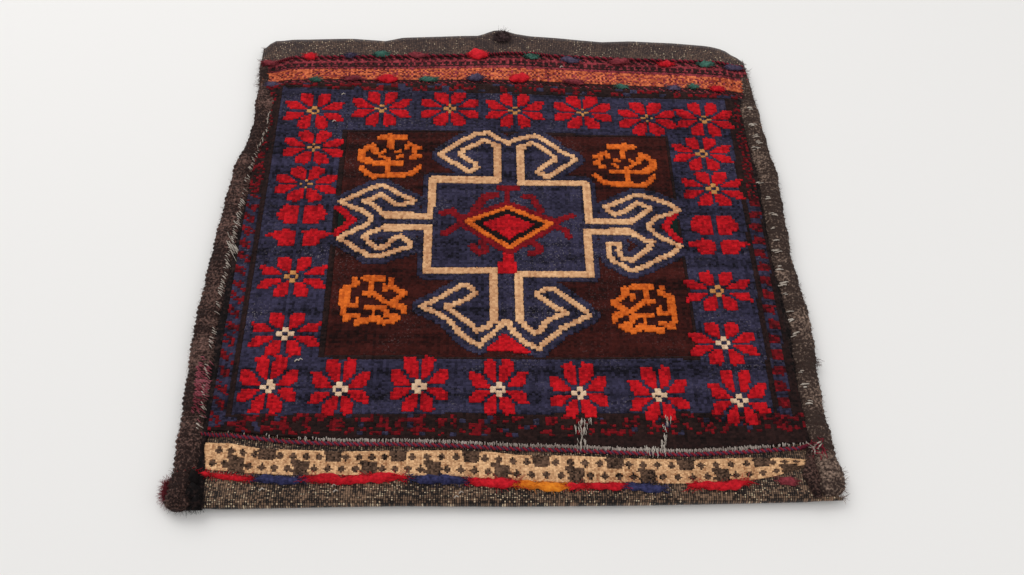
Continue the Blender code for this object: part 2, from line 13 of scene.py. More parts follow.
import bmesh
import bpy
import numpy as np
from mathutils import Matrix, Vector


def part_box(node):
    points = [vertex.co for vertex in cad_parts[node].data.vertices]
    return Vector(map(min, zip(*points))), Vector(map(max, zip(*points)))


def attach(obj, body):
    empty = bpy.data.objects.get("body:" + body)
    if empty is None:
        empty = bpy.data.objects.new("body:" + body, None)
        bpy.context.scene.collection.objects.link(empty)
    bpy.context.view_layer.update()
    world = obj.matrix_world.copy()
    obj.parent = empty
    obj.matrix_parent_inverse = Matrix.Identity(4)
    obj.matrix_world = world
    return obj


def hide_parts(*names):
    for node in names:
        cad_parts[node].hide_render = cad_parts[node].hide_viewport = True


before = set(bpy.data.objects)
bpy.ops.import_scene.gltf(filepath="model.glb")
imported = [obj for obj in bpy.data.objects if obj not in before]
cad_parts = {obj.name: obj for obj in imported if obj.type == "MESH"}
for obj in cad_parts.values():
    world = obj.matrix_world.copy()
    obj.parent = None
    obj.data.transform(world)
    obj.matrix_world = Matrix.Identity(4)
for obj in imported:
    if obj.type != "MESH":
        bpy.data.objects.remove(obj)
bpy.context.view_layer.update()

MM = 0.001
print("CAD nodes:", len(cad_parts))

# %% [markdown]
# The pattern was measured from a zero point near the middle of the bag.  The diamond's heart in the CAD model
# is known to lie 2 mm left of that zero and 18 mm beyond it, so the heart's box fixes every other place.

# %% Zero point, heights and the measures of the flat bag
def middle(node):
    low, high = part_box(node)
    return [(a + b) / 2 / MM for a, b in zip(low, high)]


heart = middle("pile_diamond_heart")
ZERO_X = heart[0] + 2
ZERO_Y = heart[1] - 18
CLOTH_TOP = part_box("bag_cloth")[1][2] / MM
CLOTH_THICK = 2.2
PINCH_Z = 7.0                # middle of the bound edges above the floor
FLAT_HALF = 248.0            # the cloth is flat to here, then comes down to the binding
PINCH_HALF = 263.0
FOLD_EDGE = [(-281, -279.5), (-100, -280), (0, -282.5), (100, -284), (281, -284)]
FRONT_SAG = 0.6              # the front cloth lies this much below the top of its CAD box
SEAM_GAP = 0.3               # between the two cloths at the binding, each way
OUT_OF_SQUARE = 0.019        # the left side lies longer than the right by twice this share
HALF_WIDE = 280.0            # from the middle to a side, where that share is reached
print("zero:", round(ZERO_X, 1), round(ZERO_Y, 1), "cloth top:", round(CLOTH_TOP, 1))

# %% [markdown]
# The real bag was knotted by hand, so nothing on it is straight.  Lists of (place, measure) pairs describe
# the mouth's wavy edge and the outer edges of the two bindings, and `np.interp` reads between them.

# %% Edges of the bag
MOUTH = [(-283, 275), (-277, 286), (-268, 294), (-230, 295), (-180, 298), (-140, 296), (-120, 303), (-50, 310),
         (-30, 311), (-18, 318), (-10, 322), (0, 321), (12, 316), (30, 312), (60, 310), (90, 307), (115, 305),
         (150, 308), (200, 306), (240, 302), (262, 296), (275, 286), (283, 275)]
LEFT_SIDE = [(-290, -295), (-250, -292), (-200, -293), (-100, -297), (0, -293), (50, -290), (100, -287),
             (140, -277), (160, -275), (225, -278), (250, -281), (290, -282)]
RIGHT_SIDE = [(-290, 280), (-265, 286), (-240, 283), (-200, 281), (-160, 282), (-140, 284), (-100, 287),
              (-60, 285), (-20, 282), (20, 284), (60, 285), (100, 287), (140, 283), (200, 281), (290, 277)]
NEAR_EDGE = [(-266, -209), (-250, -211), (-200, -217.5), (-150, -221), (-100, -222), (-50, -224), (0, -227.5),
             (50, -230), (100, -234), (150, -236.5), (200, -234.5), (255, -230)]
FAR_EDGE = [(-280, 215.5), (-200, 221.5), (-100, 223.5), (0, 225.5), (100, 223.5), (200, 219.5), (276, 216.5)]


def read(pairs, at):
    """Read a line of (place, measure) pairs at one place or at an array of places."""
    return np.interp(at, [a for a, _ in pairs], [b for _, b in pairs])


def waves(x, y):
    """Soft unevenness of a cloth that has been folded away for years."""
    return (0.7 * np.sin(x / 61 + 1.1) * np.sin(y / 83 + 0.4) + 0.5 * np.sin(x / 37 - y / 51)
            + 0.35 * np.sin(y / 29 + x / 140 + 2.0))


def cloth_top(x, y):
    """Height of the front cloth's upper face."""
    x = np.asarray(x, float)
    down = np.clip((np.abs(x) - FLAT_HALF) / (PINCH_HALF - FLAT_HALF), 0, 1)
    flat, low = CLOTH_TOP - FRONT_SAG, PINCH_Z + CLOTH_THICK + SEAM_GAP
    return flat - (flat - low) * down + waves(x, y) * (1 - down)


# %% [markdown]
# Every piece ends the same way.

# %% Finishing a piece
def to_model(places):
    """Measured millimetres to metres of the model, with the bag lying slightly out of square."""
    x, y, z = places.T
    return np.stack([x + ZERO_X, y * (1 - OUT_OF_SQUARE * x / HALF_WIDE) + ZERO_Y, z], 1) * MM


def finish(bm, name, material, slot, replaces=()):
    """Make an object of a bmesh in measured millimetres and put it where it belongs."""
    mesh = bpy.data.meshes.new(name)
    bm.to_mesh(mesh)
    bm.free()
    mesh.materials.append(material)
    mesh.shade_smooth()
    places = np.empty(len(mesh.vertices) * 3)
    mesh.vertices.foreach_get("co", places)
    mesh.vertices.foreach_set("co", to_model(places.reshape(-1, 3)).ravel())
    mesh.update()
    piece = bpy.data.objects.new(name, mesh)
    bpy.context.scene.collection.objects.link(piece)
    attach(piece, "root")
    for node in replaces:
        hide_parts(node)
    print(name, len(mesh.polygons), "faces")
    return piece


# %% [markdown]
# Every material is a tree of shader nodes.  It could be drawn in the editor, but here a few helpers add one
# node, mix two colours or do one step of arithmetic, so that each material reads like a recipe.

# %% Node helpers
def node(tree, kind, inputs=(), **settings):
    """Add a shader node, set it, and fill its inputs with values or links."""
    made = tree.nodes.new("ShaderNode" + kind)
    for name, value in settings.items():
        setattr(made, name, value)
    for name, value in dict(inputs).items():
        if isinstance(value, bpy.types.NodeSocket):
            tree.links.new(value, made.inputs[name])
        else:
            made.inputs[name].default_value = value
    return made


def mix(tree, share, first, second):
    """Mix two colours."""
    return node(tree, "Mix", {0: share, 6: first, 7: second}, data_type="RGBA").outputs[2]


def maths(tree, work, *values, clamp=False):
    """One step of arithmetic."""
    return node(tree, "Math", dict(enumerate(values)), operation=work, use_clamp=clamp).outputs[0]


def new_group(name, inputs, outputs):
    """An empty node group with the named sockets."""
    tree = bpy.data.node_groups.new(name, "ShaderNodeTree")
    for label, kind, value in inputs:
        socket = tree.interface.new_socket(label, in_out="INPUT", socket_type="NodeSocket" + kind)
        socket.default_value = value
    for label, kind in outputs:
        tree.interface.new_socket(label, in_out="OUTPUT", socket_type="NodeSocket" + kind)
    return tree, tree.nodes.new("NodeGroupInput").outputs, tree.nodes.new("NodeGroupOutput").inputs


def dye(red, green, blue):
    """A colour as seen on the screen, made linear for the shader."""
    return (*[((c + 0.055) / 1.055) ** 2.4 if c > 0.04 else c / 12.92 for c in (red, green, blue)], 1)


def noise(tree, place, size, detail, roughness=0.5):
    """A cloudy mask."""
    return node(tree, "TexNoise", {"Vector": place, "Scale": size, "Detail": detail,
                                   "Roughness": roughness}).outputs[0]


def yarn_material(name, group, values, sheen, specular):
    """A material that takes its colour, roughness and surface from a node group."""
    made = bpy.data.materials.new(name)
    made.use_nodes = True
    tree = made.node_tree
    shader = tree.nodes["Principled BSDF"]
    yarn = node(tree, "Group", values, node_tree=group)
    for label, socket in (("Color", "Base Color"), ("Roughness", "Roughness"), ("Normal", "Normal")):
        tree.links.new(yarn.outputs[label], shader.inputs[socket])
    shader.inputs["Sheen Weight"].default_value = sheen
    shader.inputs["Specular IOR Level"].default_value = specular
    return made


# %% [markdown]
# The camera stands where the photographer stood: above the near side, a little left of the middle, looking
# down at the bag.  Its place was worked out from the four corners of the bag in the photograph.  The floor is
# plain and pale and shows white to the camera, but it still takes the bag's shadow.

# %% Camera, floor and light
LENS = 36.98
FLOOR_GAP = 0.0005           # metres, so that the floor and the cloth never share a plane
CAMERA_PLACE = (-40.8, -660.8, 836.8)
CAMERA_TURN = (36.238, -1.999, -1.078)

camera_data = bpy.data.cameras.new("photo_camera")
camera_data.lens = LENS
camera_data.sensor_width = 36          # as wide as full-frame film
camera = bpy.data.objects.new("photo_camera", camera_data)
camera.location = ((CAMERA_PLACE[0] + ZERO_X) * MM, (CAMERA_PLACE[1] + ZERO_Y) * MM, CAMERA_PLACE[2] * MM)
camera.rotation_euler = [radians(turn) for turn in CAMERA_TURN]
bpy.context.scene.collection.objects.link(camera)
bpy.context.scene.camera = camera

bm = bmesh.new()
bmesh.ops.create_grid(bm, x_segments=2, y_segments=2, size=6.0)
floor_mesh = bpy.data.meshes.new("floor")
bm.to_mesh(floor_mesh)
bm.free()
floor = bpy.data.objects.new("floor", floor_mesh)
floor.location.z = -FLOOR_GAP
bpy.context.scene.collection.objects.link(floor)

FLOOR_LIT = (0.80, 0.79, 0.77, 1)
FLOOR_SEEN = (0.91, 0.89, 0.86, 1)
floor_paint = bpy.data.materials.new("pale_floor")
floor_paint.use_nodes = True
floor_tree = floor_paint.node_tree
seen_by = node(floor_tree, "LightPath").outputs
seen = seen_by["Is Camera Ray"]
for way in ("Is Glossy Ray", "Is Transmission Ray"):
    seen = maths(floor_tree, "ADD", seen, seen_by[way], clamp=True)
floor_shader = floor_tree.nodes["Principled BSDF"]
floor_tree.links.new(mix(floor_tree, seen, FLOOR_LIT, FLOOR_SEEN), floor_shader.inputs["Base Color"])
floor_shader.inputs["Roughness"].default_value = 0.8
floor_shader.inputs["Specular IOR Level"].default_value = 0.2
floor_mesh.materials.append(floor_paint)


def area_light(name, power, size, place):
    """A soft square lamp that looks at the middle of the bag."""
    data = bpy.data.lights.new(name, "AREA")
    data.energy = power
    data.size = size
    lamp = bpy.data.objects.new(name, data)
    lamp.location = place
    lamp.rotation_euler = (-Vector(place)).to_track_quat("-Z", "Y").to_euler()
    bpy.context.scene.collection.objects.link(lamp)


area_light("window", 34, 2.2, (-1.2, 1.6, 2.2))
area_light("fill", 12, 2.5, (1.6, -1.0, 2.0))

world = bpy.data.worlds.new("room")
bpy.context.scene.world = world
world.use_nodes = True
sky = world.node_tree.nodes["Background"].inputs
sky["Color"].default_value = (0.97, 0.98, 1.0, 1)
sky["Strength"].default_value = 0.62
bpy.context.scene.view_settings.view_transform = "Standard"
print("camera at", [round(value, 3) for value in camera.location])

# %% [markdown]
# Dyed wool is never one flat colour.  Single knots differ, whole rows differ where the dyer's batches changed
# (weavers call it abrash), and every yarn is made of fine fibres.  One node group gives all three, so that
# each wool only has to name its darker and its lighter shade.  The per-knot tone is stored in the mesh as an
# attribute when the pile is made.

# %% The wool group
def wool_group():
    """Colour and surface of dyed wool, from a darker and a lighter shade."""
    tree, given, out = new_group(
        "dyed_wool",
        [("Dark", "Color", (0, 0, 0, 1)), ("Light", "Color", (1, 1, 1, 1)), ("Abrash", "Float", 0.3),
         ("Knots", "Float", 0.5), ("Fibre", "Float", 0.5), ("Fibre Size", "Float", 900.0), ("Worn", "Float", 0.0)],
        [("Color", "Color"), ("Roughness", "Float"), ("Normal", "Vector")])
    place = node(tree, "TexCoord").outputs["Object"]
    rows = node(tree, "Mapping", {"Vector": place, "Scale": (2.2, 75.0, 1.0)}).outputs[0]
    batch = noise(tree, rows, 1.0, 3.0, 0.6)
    patches = noise(tree, place, 26.0, 2.0)
    fibre = noise(tree, place, given["Fibre Size"], 2.0)
    tone = node(tree, "Attribute", attribute_name="tone").outputs["Fac"]
    level = maths(tree, "MULTIPLY", maths(tree, "SUBTRACT", batch, 0.5), given["Abrash"])
    level = maths(tree, "MULTIPLY_ADD", level, 2.4, 0.5)
    level = maths(tree, "MULTIPLY_ADD", maths(tree, "SUBTRACT", patches, 0.5), 0.7, level)
    level = maths(tree, "MULTIPLY_ADD", maths(tree, "SUBTRACT", tone, 0.5), given["Knots"], level)
    hairs = maths(tree, "SUBTRACT", fibre, 0.5)
    level = maths(tree, "MULTIPLY_ADD", hairs, given["Fibre"], level, clamp=True)
    bald = maths(tree, "MULTIPLY", maths(tree, "SUBTRACT", patches, 0.47), 4.0, clamp=True)
    bald = maths(tree, "MULTIPLY", maths(tree, "GREATER_THAN", noise(tree, place, 560.0, 1.0), 0.64), bald)
    colour = mix(tree, level, given["Dark"], given["Light"])
    colour = mix(tree, maths(tree, "MULTIPLY", bald, given["Worn"]), colour, dye(0.62, 0.58, 0.58))
    tree.links.new(colour, out["Color"])
    tree.links.new(maths(tree, "MULTIPLY_ADD", hairs, 0.2, 0.86), out["Roughness"])
    bump = node(tree, "Bump", {"Height": fibre, "Strength": 0.5, "Distance": 0.0008})
    tree.links.new(bump.outputs[0], out["Normal"])
    return tree


DYED_WOOL = wool_group()


def wool(name, dark, light, abrash=0.3, knots=0.5, fibre=0.5, size=900.0, worn=0.0):
    """A material of dyed wool."""
    return yarn_material(name, DYED_WOOL, {
        "Dark": dye(*dark), "Light": dye(*light), "Abrash": abrash, "Knots": knots, "Fibre": fibre,
        "Fibre Size": size, "Worn": worn}, sheen=0.03, specular=0.1)


NAVY_WOOL = wool("navy_wool", (0.06, 0.05, 0.085), (0.235, 0.22, 0.315), abrash=0.8, knots=0.9, worn=0.35)
BROWN_WOOL = wool("brown_wool", (0.085, 0.022, 0.018), (0.28, 0.10, 0.08), abrash=0.9, knots=0.7, worn=0.15)
CREAM_WOOL = wool("cream_wool", (0.66, 0.44, 0.30), (0.98, 0.78, 0.58), abrash=0.3, knots=0.7)
ORANGE_WOOL = wool("orange_wool", (0.62, 0.24, 0.06), (0.98, 0.49, 0.17), knots=0.7)
BLACK_WOOL = wool("black_wool", (0.04, 0.025, 0.025), (0.13, 0.08, 0.08))
RED_WOOL = wool("red_wool", (0.44, 0.01, 0.05), (0.86, 0.09, 0.13), abrash=0.4, knots=0.8)
GUARD_RED = wool("guard_red_wool", (0.16, 0.025, 0.04), (0.52, 0.06, 0.095), abrash=0.5, knots=1.2)
MAROON_WOOL = wool("maroon_wool", (0.24, 0.03, 0.06), (0.58, 0.07, 0.11), knots=0.7)
DARK_WOOL = wool("dark_wool", (0.05, 0.03, 0.03), (0.20, 0.12, 0.11), abrash=0.5, knots=0.8)
GREEN_WOOL = wool("green_wool", (0.03, 0.07, 0.06), (0.10, 0.17, 0.14))
IVORY_WOOL = wool("ivory_wool", (0.72, 0.56, 0.43), (1.0, 0.88, 0.74))
GOLD_WOOL = wool("gold_wool", (0.58, 0.35, 0.18), (0.90, 0.64, 0.38))
print("wools:", len(bpy.data.materials))

# %% [markdown]
# The pattern is drawn the way a weaver reads it from an older piece: as lines and fields.  Each knot lies in
# the last shape that covers its middle, so slanting lines step from knot to knot as they do on the real bag.
# The shapes are tested on arrays of all knots at once, which is far quicker than knot by knot.

# %% Shape tests for knots
def within(x, y, outline):
    """Which points lie inside a closed outline."""
    inside = np.zeros(np.shape(x), bool)
    for (ax, ay), (bx, by) in zip(outline, outline[1:] + outline[:1]):
        if ay != by:
            crosses = (ay > y) != (by > y)
            inside ^= crosses & (x < (bx - ax) * (y - ay) / (by - ay) + ax)
    return inside


def away(x, y, line):
    """How far each point is from a broken line."""
    nearest = np.full(np.shape(x), 1e9)
    for (ax, ay), (bx, by) in zip(line, line[1:]):
        dx, dy = bx - ax, by - ay
        along = np.clip(((x - ax) * dx + (y - ay) * dy) / max(dx * dx + dy * dy, 1e-9), 0, 1)
        nearest = np.minimum(nearest, np.hypot(x - ax - along * dx, y - ay - along * dy))
    return nearest


def block(x, y, left, right, low, high):
    """Which points lie in an upright block."""
    return (x > left) & (x < right) & (y > low) & (y < high)


# %% [markdown]
# The medallion is a square with a pair of hooked arms on each side, drawn as one unbroken cream line.  The
# four stretches below run clockwise from arm to arm, and small differences between the arms are the
# weaver's own.

# %% The medallion's cream line
TOP_ARMS = [(-13.5, 80), (-13.5, 129), (-26, 137), (-50, 122), (-53, 115), (-36.5, 103), (-34, 98), (-43, 92),
            (-64, 107), (-74, 115), (-66, 122), (-54, 134), (-36.5, 145), (-23, 148), (-8, 137), (-1, 134),
            (11, 140), (29, 145), (41, 136), (55, 122), (67, 115), (70, 110), (61, 102), (48, 92), (40, 86),
            (28, 92), (35, 99.5), (41, 105.5), (49, 110), (46, 116), (34, 127), (24, 135), (17, 130),
            (11.8, 128), (11.8, 76)]
RIGHT_ARMS = [(78, 77), (78, 25), (122, 25), (130, 32), (144.5, 44), (131, 51), (119.5, 40), (106, 34),
              (97, 44), (116, 54), (130, 62), (148, 58), (166, 49.5), (173, 42), (164, 37), (148, 31),
              (139, 18), (147, 9), (156, 2), (169.5, -6), (159, -17), (146, -23), (133, -32), (118, -38),
              (100.5, -26), (96, -18), (96, -5), (108, -5), (106, -13), (110, -23), (119.5, -25),
              (128, -17), (137, -9), (142, -1), (133, 2), (119.5, 12), (76.4, 11), (76.4, -43)]
BOTTOM_ARMS = [(6.8, -43), (6.8, -98), (11, -105), (19, -112), (25, -109), (31, -99), (40.5, -93), (52, -89),
               (43, -84), (32, -75.5), (23, -67), (31, -61), (42, -62), (52, -72), (63, -81), (73, -91),
               (61, -98), (46, -106), (32, -119.5), (23, -129), (11, -123), (1, -112), (-7, -99),
               (-17, -109), (-26, -117), (-32, -125.5), (-40.5, -121), (-52, -110), (-62, -96), (-76, -87),
               (-87, -81), (-80, -77), (-71, -71), (-58, -62), (-49, -56), (-40.5, -58), (-36, -66),
               (-43, -71), (-52, -77), (-64, -81), (-52, -91), (-43, -99), (-34.5, -109), (-25, -105),
               (-18.5, -97), (-18.5, -39)]
LEFT_ARMS = [(-84, -39), (-83.5, 16), (-129.5, 14), (-140, 9), (-147, 3), (-142, -4), (-134, -11),
             (-126, -10), (-119, -1), (-112, 4), (-101, -4), (-102, -10), (-118, -15.5), (-131, -22),
             (-144, -20), (-157, -10), (-173, 1), (-157, 11), (-144, 19), (-142, 27), (-149, 35),
             (-162, 41), (-174, 48), (-156, 59), (-142, 69), (-131, 71), (-116, 60), (-100, 51),
             (-101, 47.6), (-117, 44), (-123, 49), (-134, 59), (-141, 53), (-150, 49), (-146, 47.6),
             (-136, 40), (-129.5, 31), (-82.5, 30), (-82, 80), (-13.5, 80)]
MEDALLION_LOOP = TOP_ARMS + RIGHT_ARMS + BOTTOM_ARMS + LEFT_ARMS
LINE_HALF = 4.0
HOOK_LINE_HALF = 2.6
HALO = 5.5
HOOK_GROUNDS = [[(-42, 84), (-13, 84), (-13, 130), (-26, 137), (-52, 120)],
                [(12, 80), (41, 80), (50, 118), (24, 135), (12, 128)],
                [(-18, -45), (-42, -50), (-36, -66), (-50, -77), (-43, -99), (-25, -105), (-18, -97)],
                [(7, -45), (28, -50), (43, -84), (31, -99), (11, -105), (7, -98)]]
print("points on the cream line:", len(MEDALLION_LOOP))

# %% [markdown]
# Inside the square hangs a hooked diamond, and a little ornament stands in each corner of the field.  They
# are short strokes of one or two knots, so each is a list of (stroke, width) pairs about its own middle.

# %% Small ornaments
FAR_SPRIG = [([(-11, 27), (16, 27)], 6), ([(0, 30), (1, 12)], 6), ([(-15, 6), (-18, 15), (-25, 11)], 7),
             ([(-29, 5), (-29, -3), (-22, -8)], 9), ([(18, 11), (20, 18), (26, 14), (28, 4), (27, -3), (23, -3)], 5),
             ([(32, 11), (32, 11.1)], 5), ([(32, 1), (32, 1.1)], 5), ([(-17, -10), (14, -10)], 6),
             ([(0, -5), (0, -26)], 5.5), ([(-29, -16), (-23, -24), (-15, -29), (0, -27), (16, -27), (26, -24),
                                          (33, -15)], 6),
             ([(-5, 7), (-11, 1), (-4, -3)], 3), ([(8, -2), (14, 1)], 4), ([(6, 6), (11, 7)], 3)]
NEAR_SPRIG = [([(-6, 25), (13, 25)], 6), ([(1, 23), (1, 9), (12, 0), (20, -5), (32, -10), (34, -15)], 5),
              ([(-22, 14), (-12, 18), (-16, 24)], 5), ([(-23, 12), (-23, -6)], 9), ([(-24, -12), (-20, -23)], 6),
              ([(-17, -20), (-10, -18)], 5), ([(-11, 0), (-11, -7), (-17, -7)], 5), ([(-5, 8), (-1, 6)], 5),
              ([(21, 23), (21, 15), (30, 9), (33, 7)], 6), ([(30, 4), (22, -3), (34, -9)], 6),
              ([(-3, -9), (12, -9)], 5), ([(5, -10), (5, -20)], 4), ([(-10, -26), (-2, -24), (8, -22), (16, -26)], 7),
              ([(15, -10), (19, -19), (28, -20)], 6), ([(25, -22), (23, -25)], 6), ([(14, 16), (15, 11)], 5)]
SPRIGS = [(FAR_SPRIG, -128, 113, 1), (FAR_SPRIG, 123, 104, -1), (NEAR_SPRIG, -138, -73, 1),
          (NEAR_SPRIG, 130, -83, -1)]
CENTRE_HOOKS = [([(-3, 68), (-3, 47)], 5), ([(-12, 69), (8, 69)], 5),
                ([(-16, 60), (-26, 58), (-33, 46), (-38, 38)], 7),
                ([(15, 58), (22, 57), (27, 46), (31, 38)], 6), ([(-70, 35), (-60, 38), (-52, 28)], 6),
                ([(-68, 8), (-60, 14), (-52, 20)], 6), ([(46, 24), (54, 29), (63, 32)], 5),
                ([(58, 4), (55, 12), (46, 17)], 5), ([(-40, -8), (-32, -16), (-26, -14), (-30, -2)], 6),
                ([(18, -2), (27, -8), (28, -14), (18, -18)], 5)]
DIAMOND = [(-46, 24), (-3, 43), (40, 21), (-3, -10)]
RING_OUTSIDE = 2.4           # how far the orange ring reaches to both sides of the diamond's line
BAND_INSIDE = 2.6            # the black ring starts here, inside the line
HEART_INSIDE = 8.4           # and the red heart here

# %% [markdown]
# The flowers of the border have eight petals about a heart of four light spots.  A weaver keeps the same
# count of rows for each but beats them down unevenly, so every flower has its own width and height.

# %% Flowers of the border
STEEP_PETAL = [(2.0, 7), (2.0, 27), (6, 35), (16.5, 32), (16, 21), (10.5, 12)]
FLAT_PETAL = [(7.5, 2.2), (25, 2.2), (29, 7), (31, 19), (21, 18.5), (14, 11.5)]
FAR_SCALE = (1.04, 0.76, 1.0)          # width, height, and share of the height below the heart
NEAR_SCALE = (0.86, 0.95, 0.8)
COLUMN_SCALE = (1.04, 0.7, 1.0)
FAR_ROW = [(-213, 177), (-140, 183), (-65, 184), (7, 183), (82, 183), (153, 175), (217, 176)]
NEAR_ROW = [(-222, -169), (-158, -172), (-87, -170), (-15, -173), (58, -177), (130, -182), (203, -187)]
LEFT_COLUMN = [(-209, 124), (-212, 72), (-213, -47), (-213, -113)]
RIGHT_COLUMN = [(208, 123), (213, 73), (200, -63), (197, -125)]
IVORY_HEARTS = NEAR_ROW + [(-213, -113), (197, -125)]
SIDE_FLOWERS = [(-212, 17), (208, 9)]
SIDE_LOBES = [[(3, 26), (18, 27), (25, 15), (23, 6), (18, 6), (17, 1), (3, 1)],
              [(3, -8), (14, -5), (30, -10), (33, -13), (22, -17), (19, -26), (4, -26)]]
HEART_SPOTS = [(-4.6, 0.0), (0.0, 4.4), (4.6, 0.0), (0.0, -4.4)]


def petals(x, y, at, wide, tall, low):
    """The eight petals of one flower: two shapes turned into each of the four corners."""
    covered = np.zeros(np.shape(x), bool)
    for across in (-1, 1):
        for up in (-low, 1):
            for petal in (STEEP_PETAL, FLAT_PETAL):
                outline = [(at[0] + px * across * wide, at[1] + py * up * tall) for px, py in petal]
                covered |= within(x, y, outline)
    return covered


# %% [markdown]
# All wools meet in one function.  It starts with dark guard stripes and lays border, field, medallion and
# ornaments over them, later shapes covering earlier ones.

# %% Which wool each knot has
KNOT_WIDE = 2.72
KNOT_TALL = 2.35
FLOWER_NODES = ([f"pile_flower_{row}_{i}" for row in ("far", "near") for i in range(1, 8)]
                + [f"pile_flower_{side}_{i}" for side in ("left", "right") for i in range(1, 6)])
# For each piece: height above the cloth, wool, finish in the record and the CAD nodes it stands for
PILE_TABLE = {
    "guard_pile": (3.6, DARK_WOOL, "dark", [f"pile_guard_{side}" for side in ("near", "far", "left", "right")]),
    "guard_red_knots": (3.8, GUARD_RED, "red", []),
    "guard_navy_knots": (3.7, NAVY_WOOL, "navy", []),
    "border_pile": (3.8, NAVY_WOOL, "navy", ["pile_border"]),
    "flower_petals": (4.2, RED_WOOL, "red", FLOWER_NODES),
    "gold_hearts": (4.4, GOLD_WOOL, "cream", []),
    "ivory_hearts": (4.5, IVORY_WOOL, "cream", []),
    "field_pile": (3.2, BROWN_WOOL, "brown", ["pile_field"]),
    "corner_sprigs": (4.2, ORANGE_WOOL, "orange", [f"pile_sprig_{end}_{side}" for end in ("far", "near")
                                                  for side in ("left", "right")]),
    "medallion_pile": (3.8, NAVY_WOOL, "navy", ["pile_medallion_halo", "pile_medallion_ground"]),
    "medallion_line": (4.5, CREAM_WOOL, "cream", ["pile_medallion_line"]),
    "centre_hooks": (4.0, MAROON_WOOL, "maroon", ["pile_diamond_hooks"]),
    "diamond_ring": (4.4, ORANGE_WOOL, "orange", ["pile_diamond_rim"]),
    "diamond_band": (3.7, BLACK_WOOL, "black", ["pile_diamond_band"]),
    "red_accents": (4.2, RED_WOOL, "red", ["pile_diamond_heart", "pile_diamond_stem", "pile_triangle",
                                           "pile_chevron_left", "pile_chevron_right"]),
    "green_accents": (3.6, GREEN_WOOL, "dark", []),
}
PILE_PIECES = list(PILE_TABLE)

# Side guard columns: heights, the middle's x there, pitch and lean of the red marks, share of knots left out
GUARD_COLUMNS = [([-200, 200], [-264, -264], 16.2, 0.7, 0.25),
                 ([-200, -100, 20, 50, 200], [243, 248, 251, 254, 257], 17.6, 0.15, 0.0)]

NEAR_STRIPE = (-219, -199)   # low and high side of the near stripe's knots
FAR_STRIPE = 211
COLUMN_HALF, MARK_HALF = 6.4, 5.8
COLUMN_END = 206
MIXED_FROM = 60              # beyond this height red and dark knots are mixed at random


def scatter(x, y, wide, tall, seed):
    """An even chance from 0 to 1 for each cell of knots, the same wherever it is asked."""
    cell = np.floor(x / wide) * 12.9898 + np.floor(y / tall) * 78.233 + seed
    return np.abs(np.sin(cell) * 43758.5453) % 1.0


def guard_pattern(x, y, wool_of):
    """Broken rows and columns of red and navy knots in the dark guard stripes."""
    red, navy = PILE_PIECES.index("guard_red_knots"), PILE_PIECES.index("guard_navy_knots")
    rise = y - np.interp(x, [-260, 60, 260], [5, -3, -1])
    holes = scatter(x, y, KNOT_WIDE, KNOT_TALL, 5.0)
    brick = x + KNOT_WIDE * (np.floor(rise / (2 * KNOT_TALL)) % 2)
    dash = scatter(brick, rise, 2 * KNOT_WIDE, 2 * KNOT_TALL, 1.0)
    near = (rise < NEAR_STRIPE[1]) & (rise > NEAR_STRIPE[0])
    wool_of[near & (dash < 0.44) & (holes > 0.2)] = red
    wool_of[near & (dash > 0.93)] = navy
    far = y > FAR_STRIPE
    patch = scatter(x, y, 3 * KNOT_WIDE, 2 * KNOT_TALL, 4.0)
    wool_of[far & (patch < 0.42) & (holes > 0.25)] = red
    wool_of[far & (patch > 0.8)] = navy
    for heights, middles, pitch, lean, gaps in GUARD_COLUMNS:
        middle_x = np.interp(y, heights, middles)
        inside = (np.abs(x - middle_x) < COLUMN_HALF) & (np.abs(y) < COLUMN_END)
        slanted = (y + lean * x) % pitch / pitch
        wool_of[inside & (y < MIXED_FROM)] = navy
        blob = np.where(y < MIXED_FROM, (slanted < 0.6) & (holes > gaps), holes > 0.5)
        wavy = np.abs(x - middle_x - 1.2 * np.sin(y / 6.1))
        wool_of[inside & blob & (wavy < MARK_HALF)] = red


def is_hook(x, y):
    """Whether a place belongs to the hooked ends of the arms, where the cream line is thinner."""
    far_end = (y > 131) | ((y > 86) & (np.abs(x + 1) > 18))
    near_end = (y < -100) | ((y < -50) & (np.abs(x + 6) > 18))
    right_end = (x > 124) | ((x > 90) & ((y > 31) | (y < 5)))
    left_end = (x < -130) | ((x < -95) & ((y > 36) | (y < 9)))
    return far_end | near_end | right_end | left_end


BORDER_EDGE = [(-251, -196), (232, -196), (238, -40), (245, 212), (-251, 212)]
FIELD_LINE = (-180, 173, -139, 152)    # left, right, near and far side of the dark line round the field
FIELD = (-176, 169, -136, 149)
STEM_BLOCKS = [(-9, 3, -38, -10), (-14, 5, -41, -29)]
TRIANGLE = [(-9, -111), (-28, -132), (17, -133)]
# Each chevron: its green ground and its red line
CHEVRONS = [([(-176, 38), (-168, 33), (-158, 24), (-168, 14), (-176, 8)], [(-176, 40), (-160, 24), (-176, 6)]),
            ([(170, 36), (161, 20), (170, 4)], [(170, 40), (157, 20), (170, 0)])]
CHEVRON_HALF = 3.6


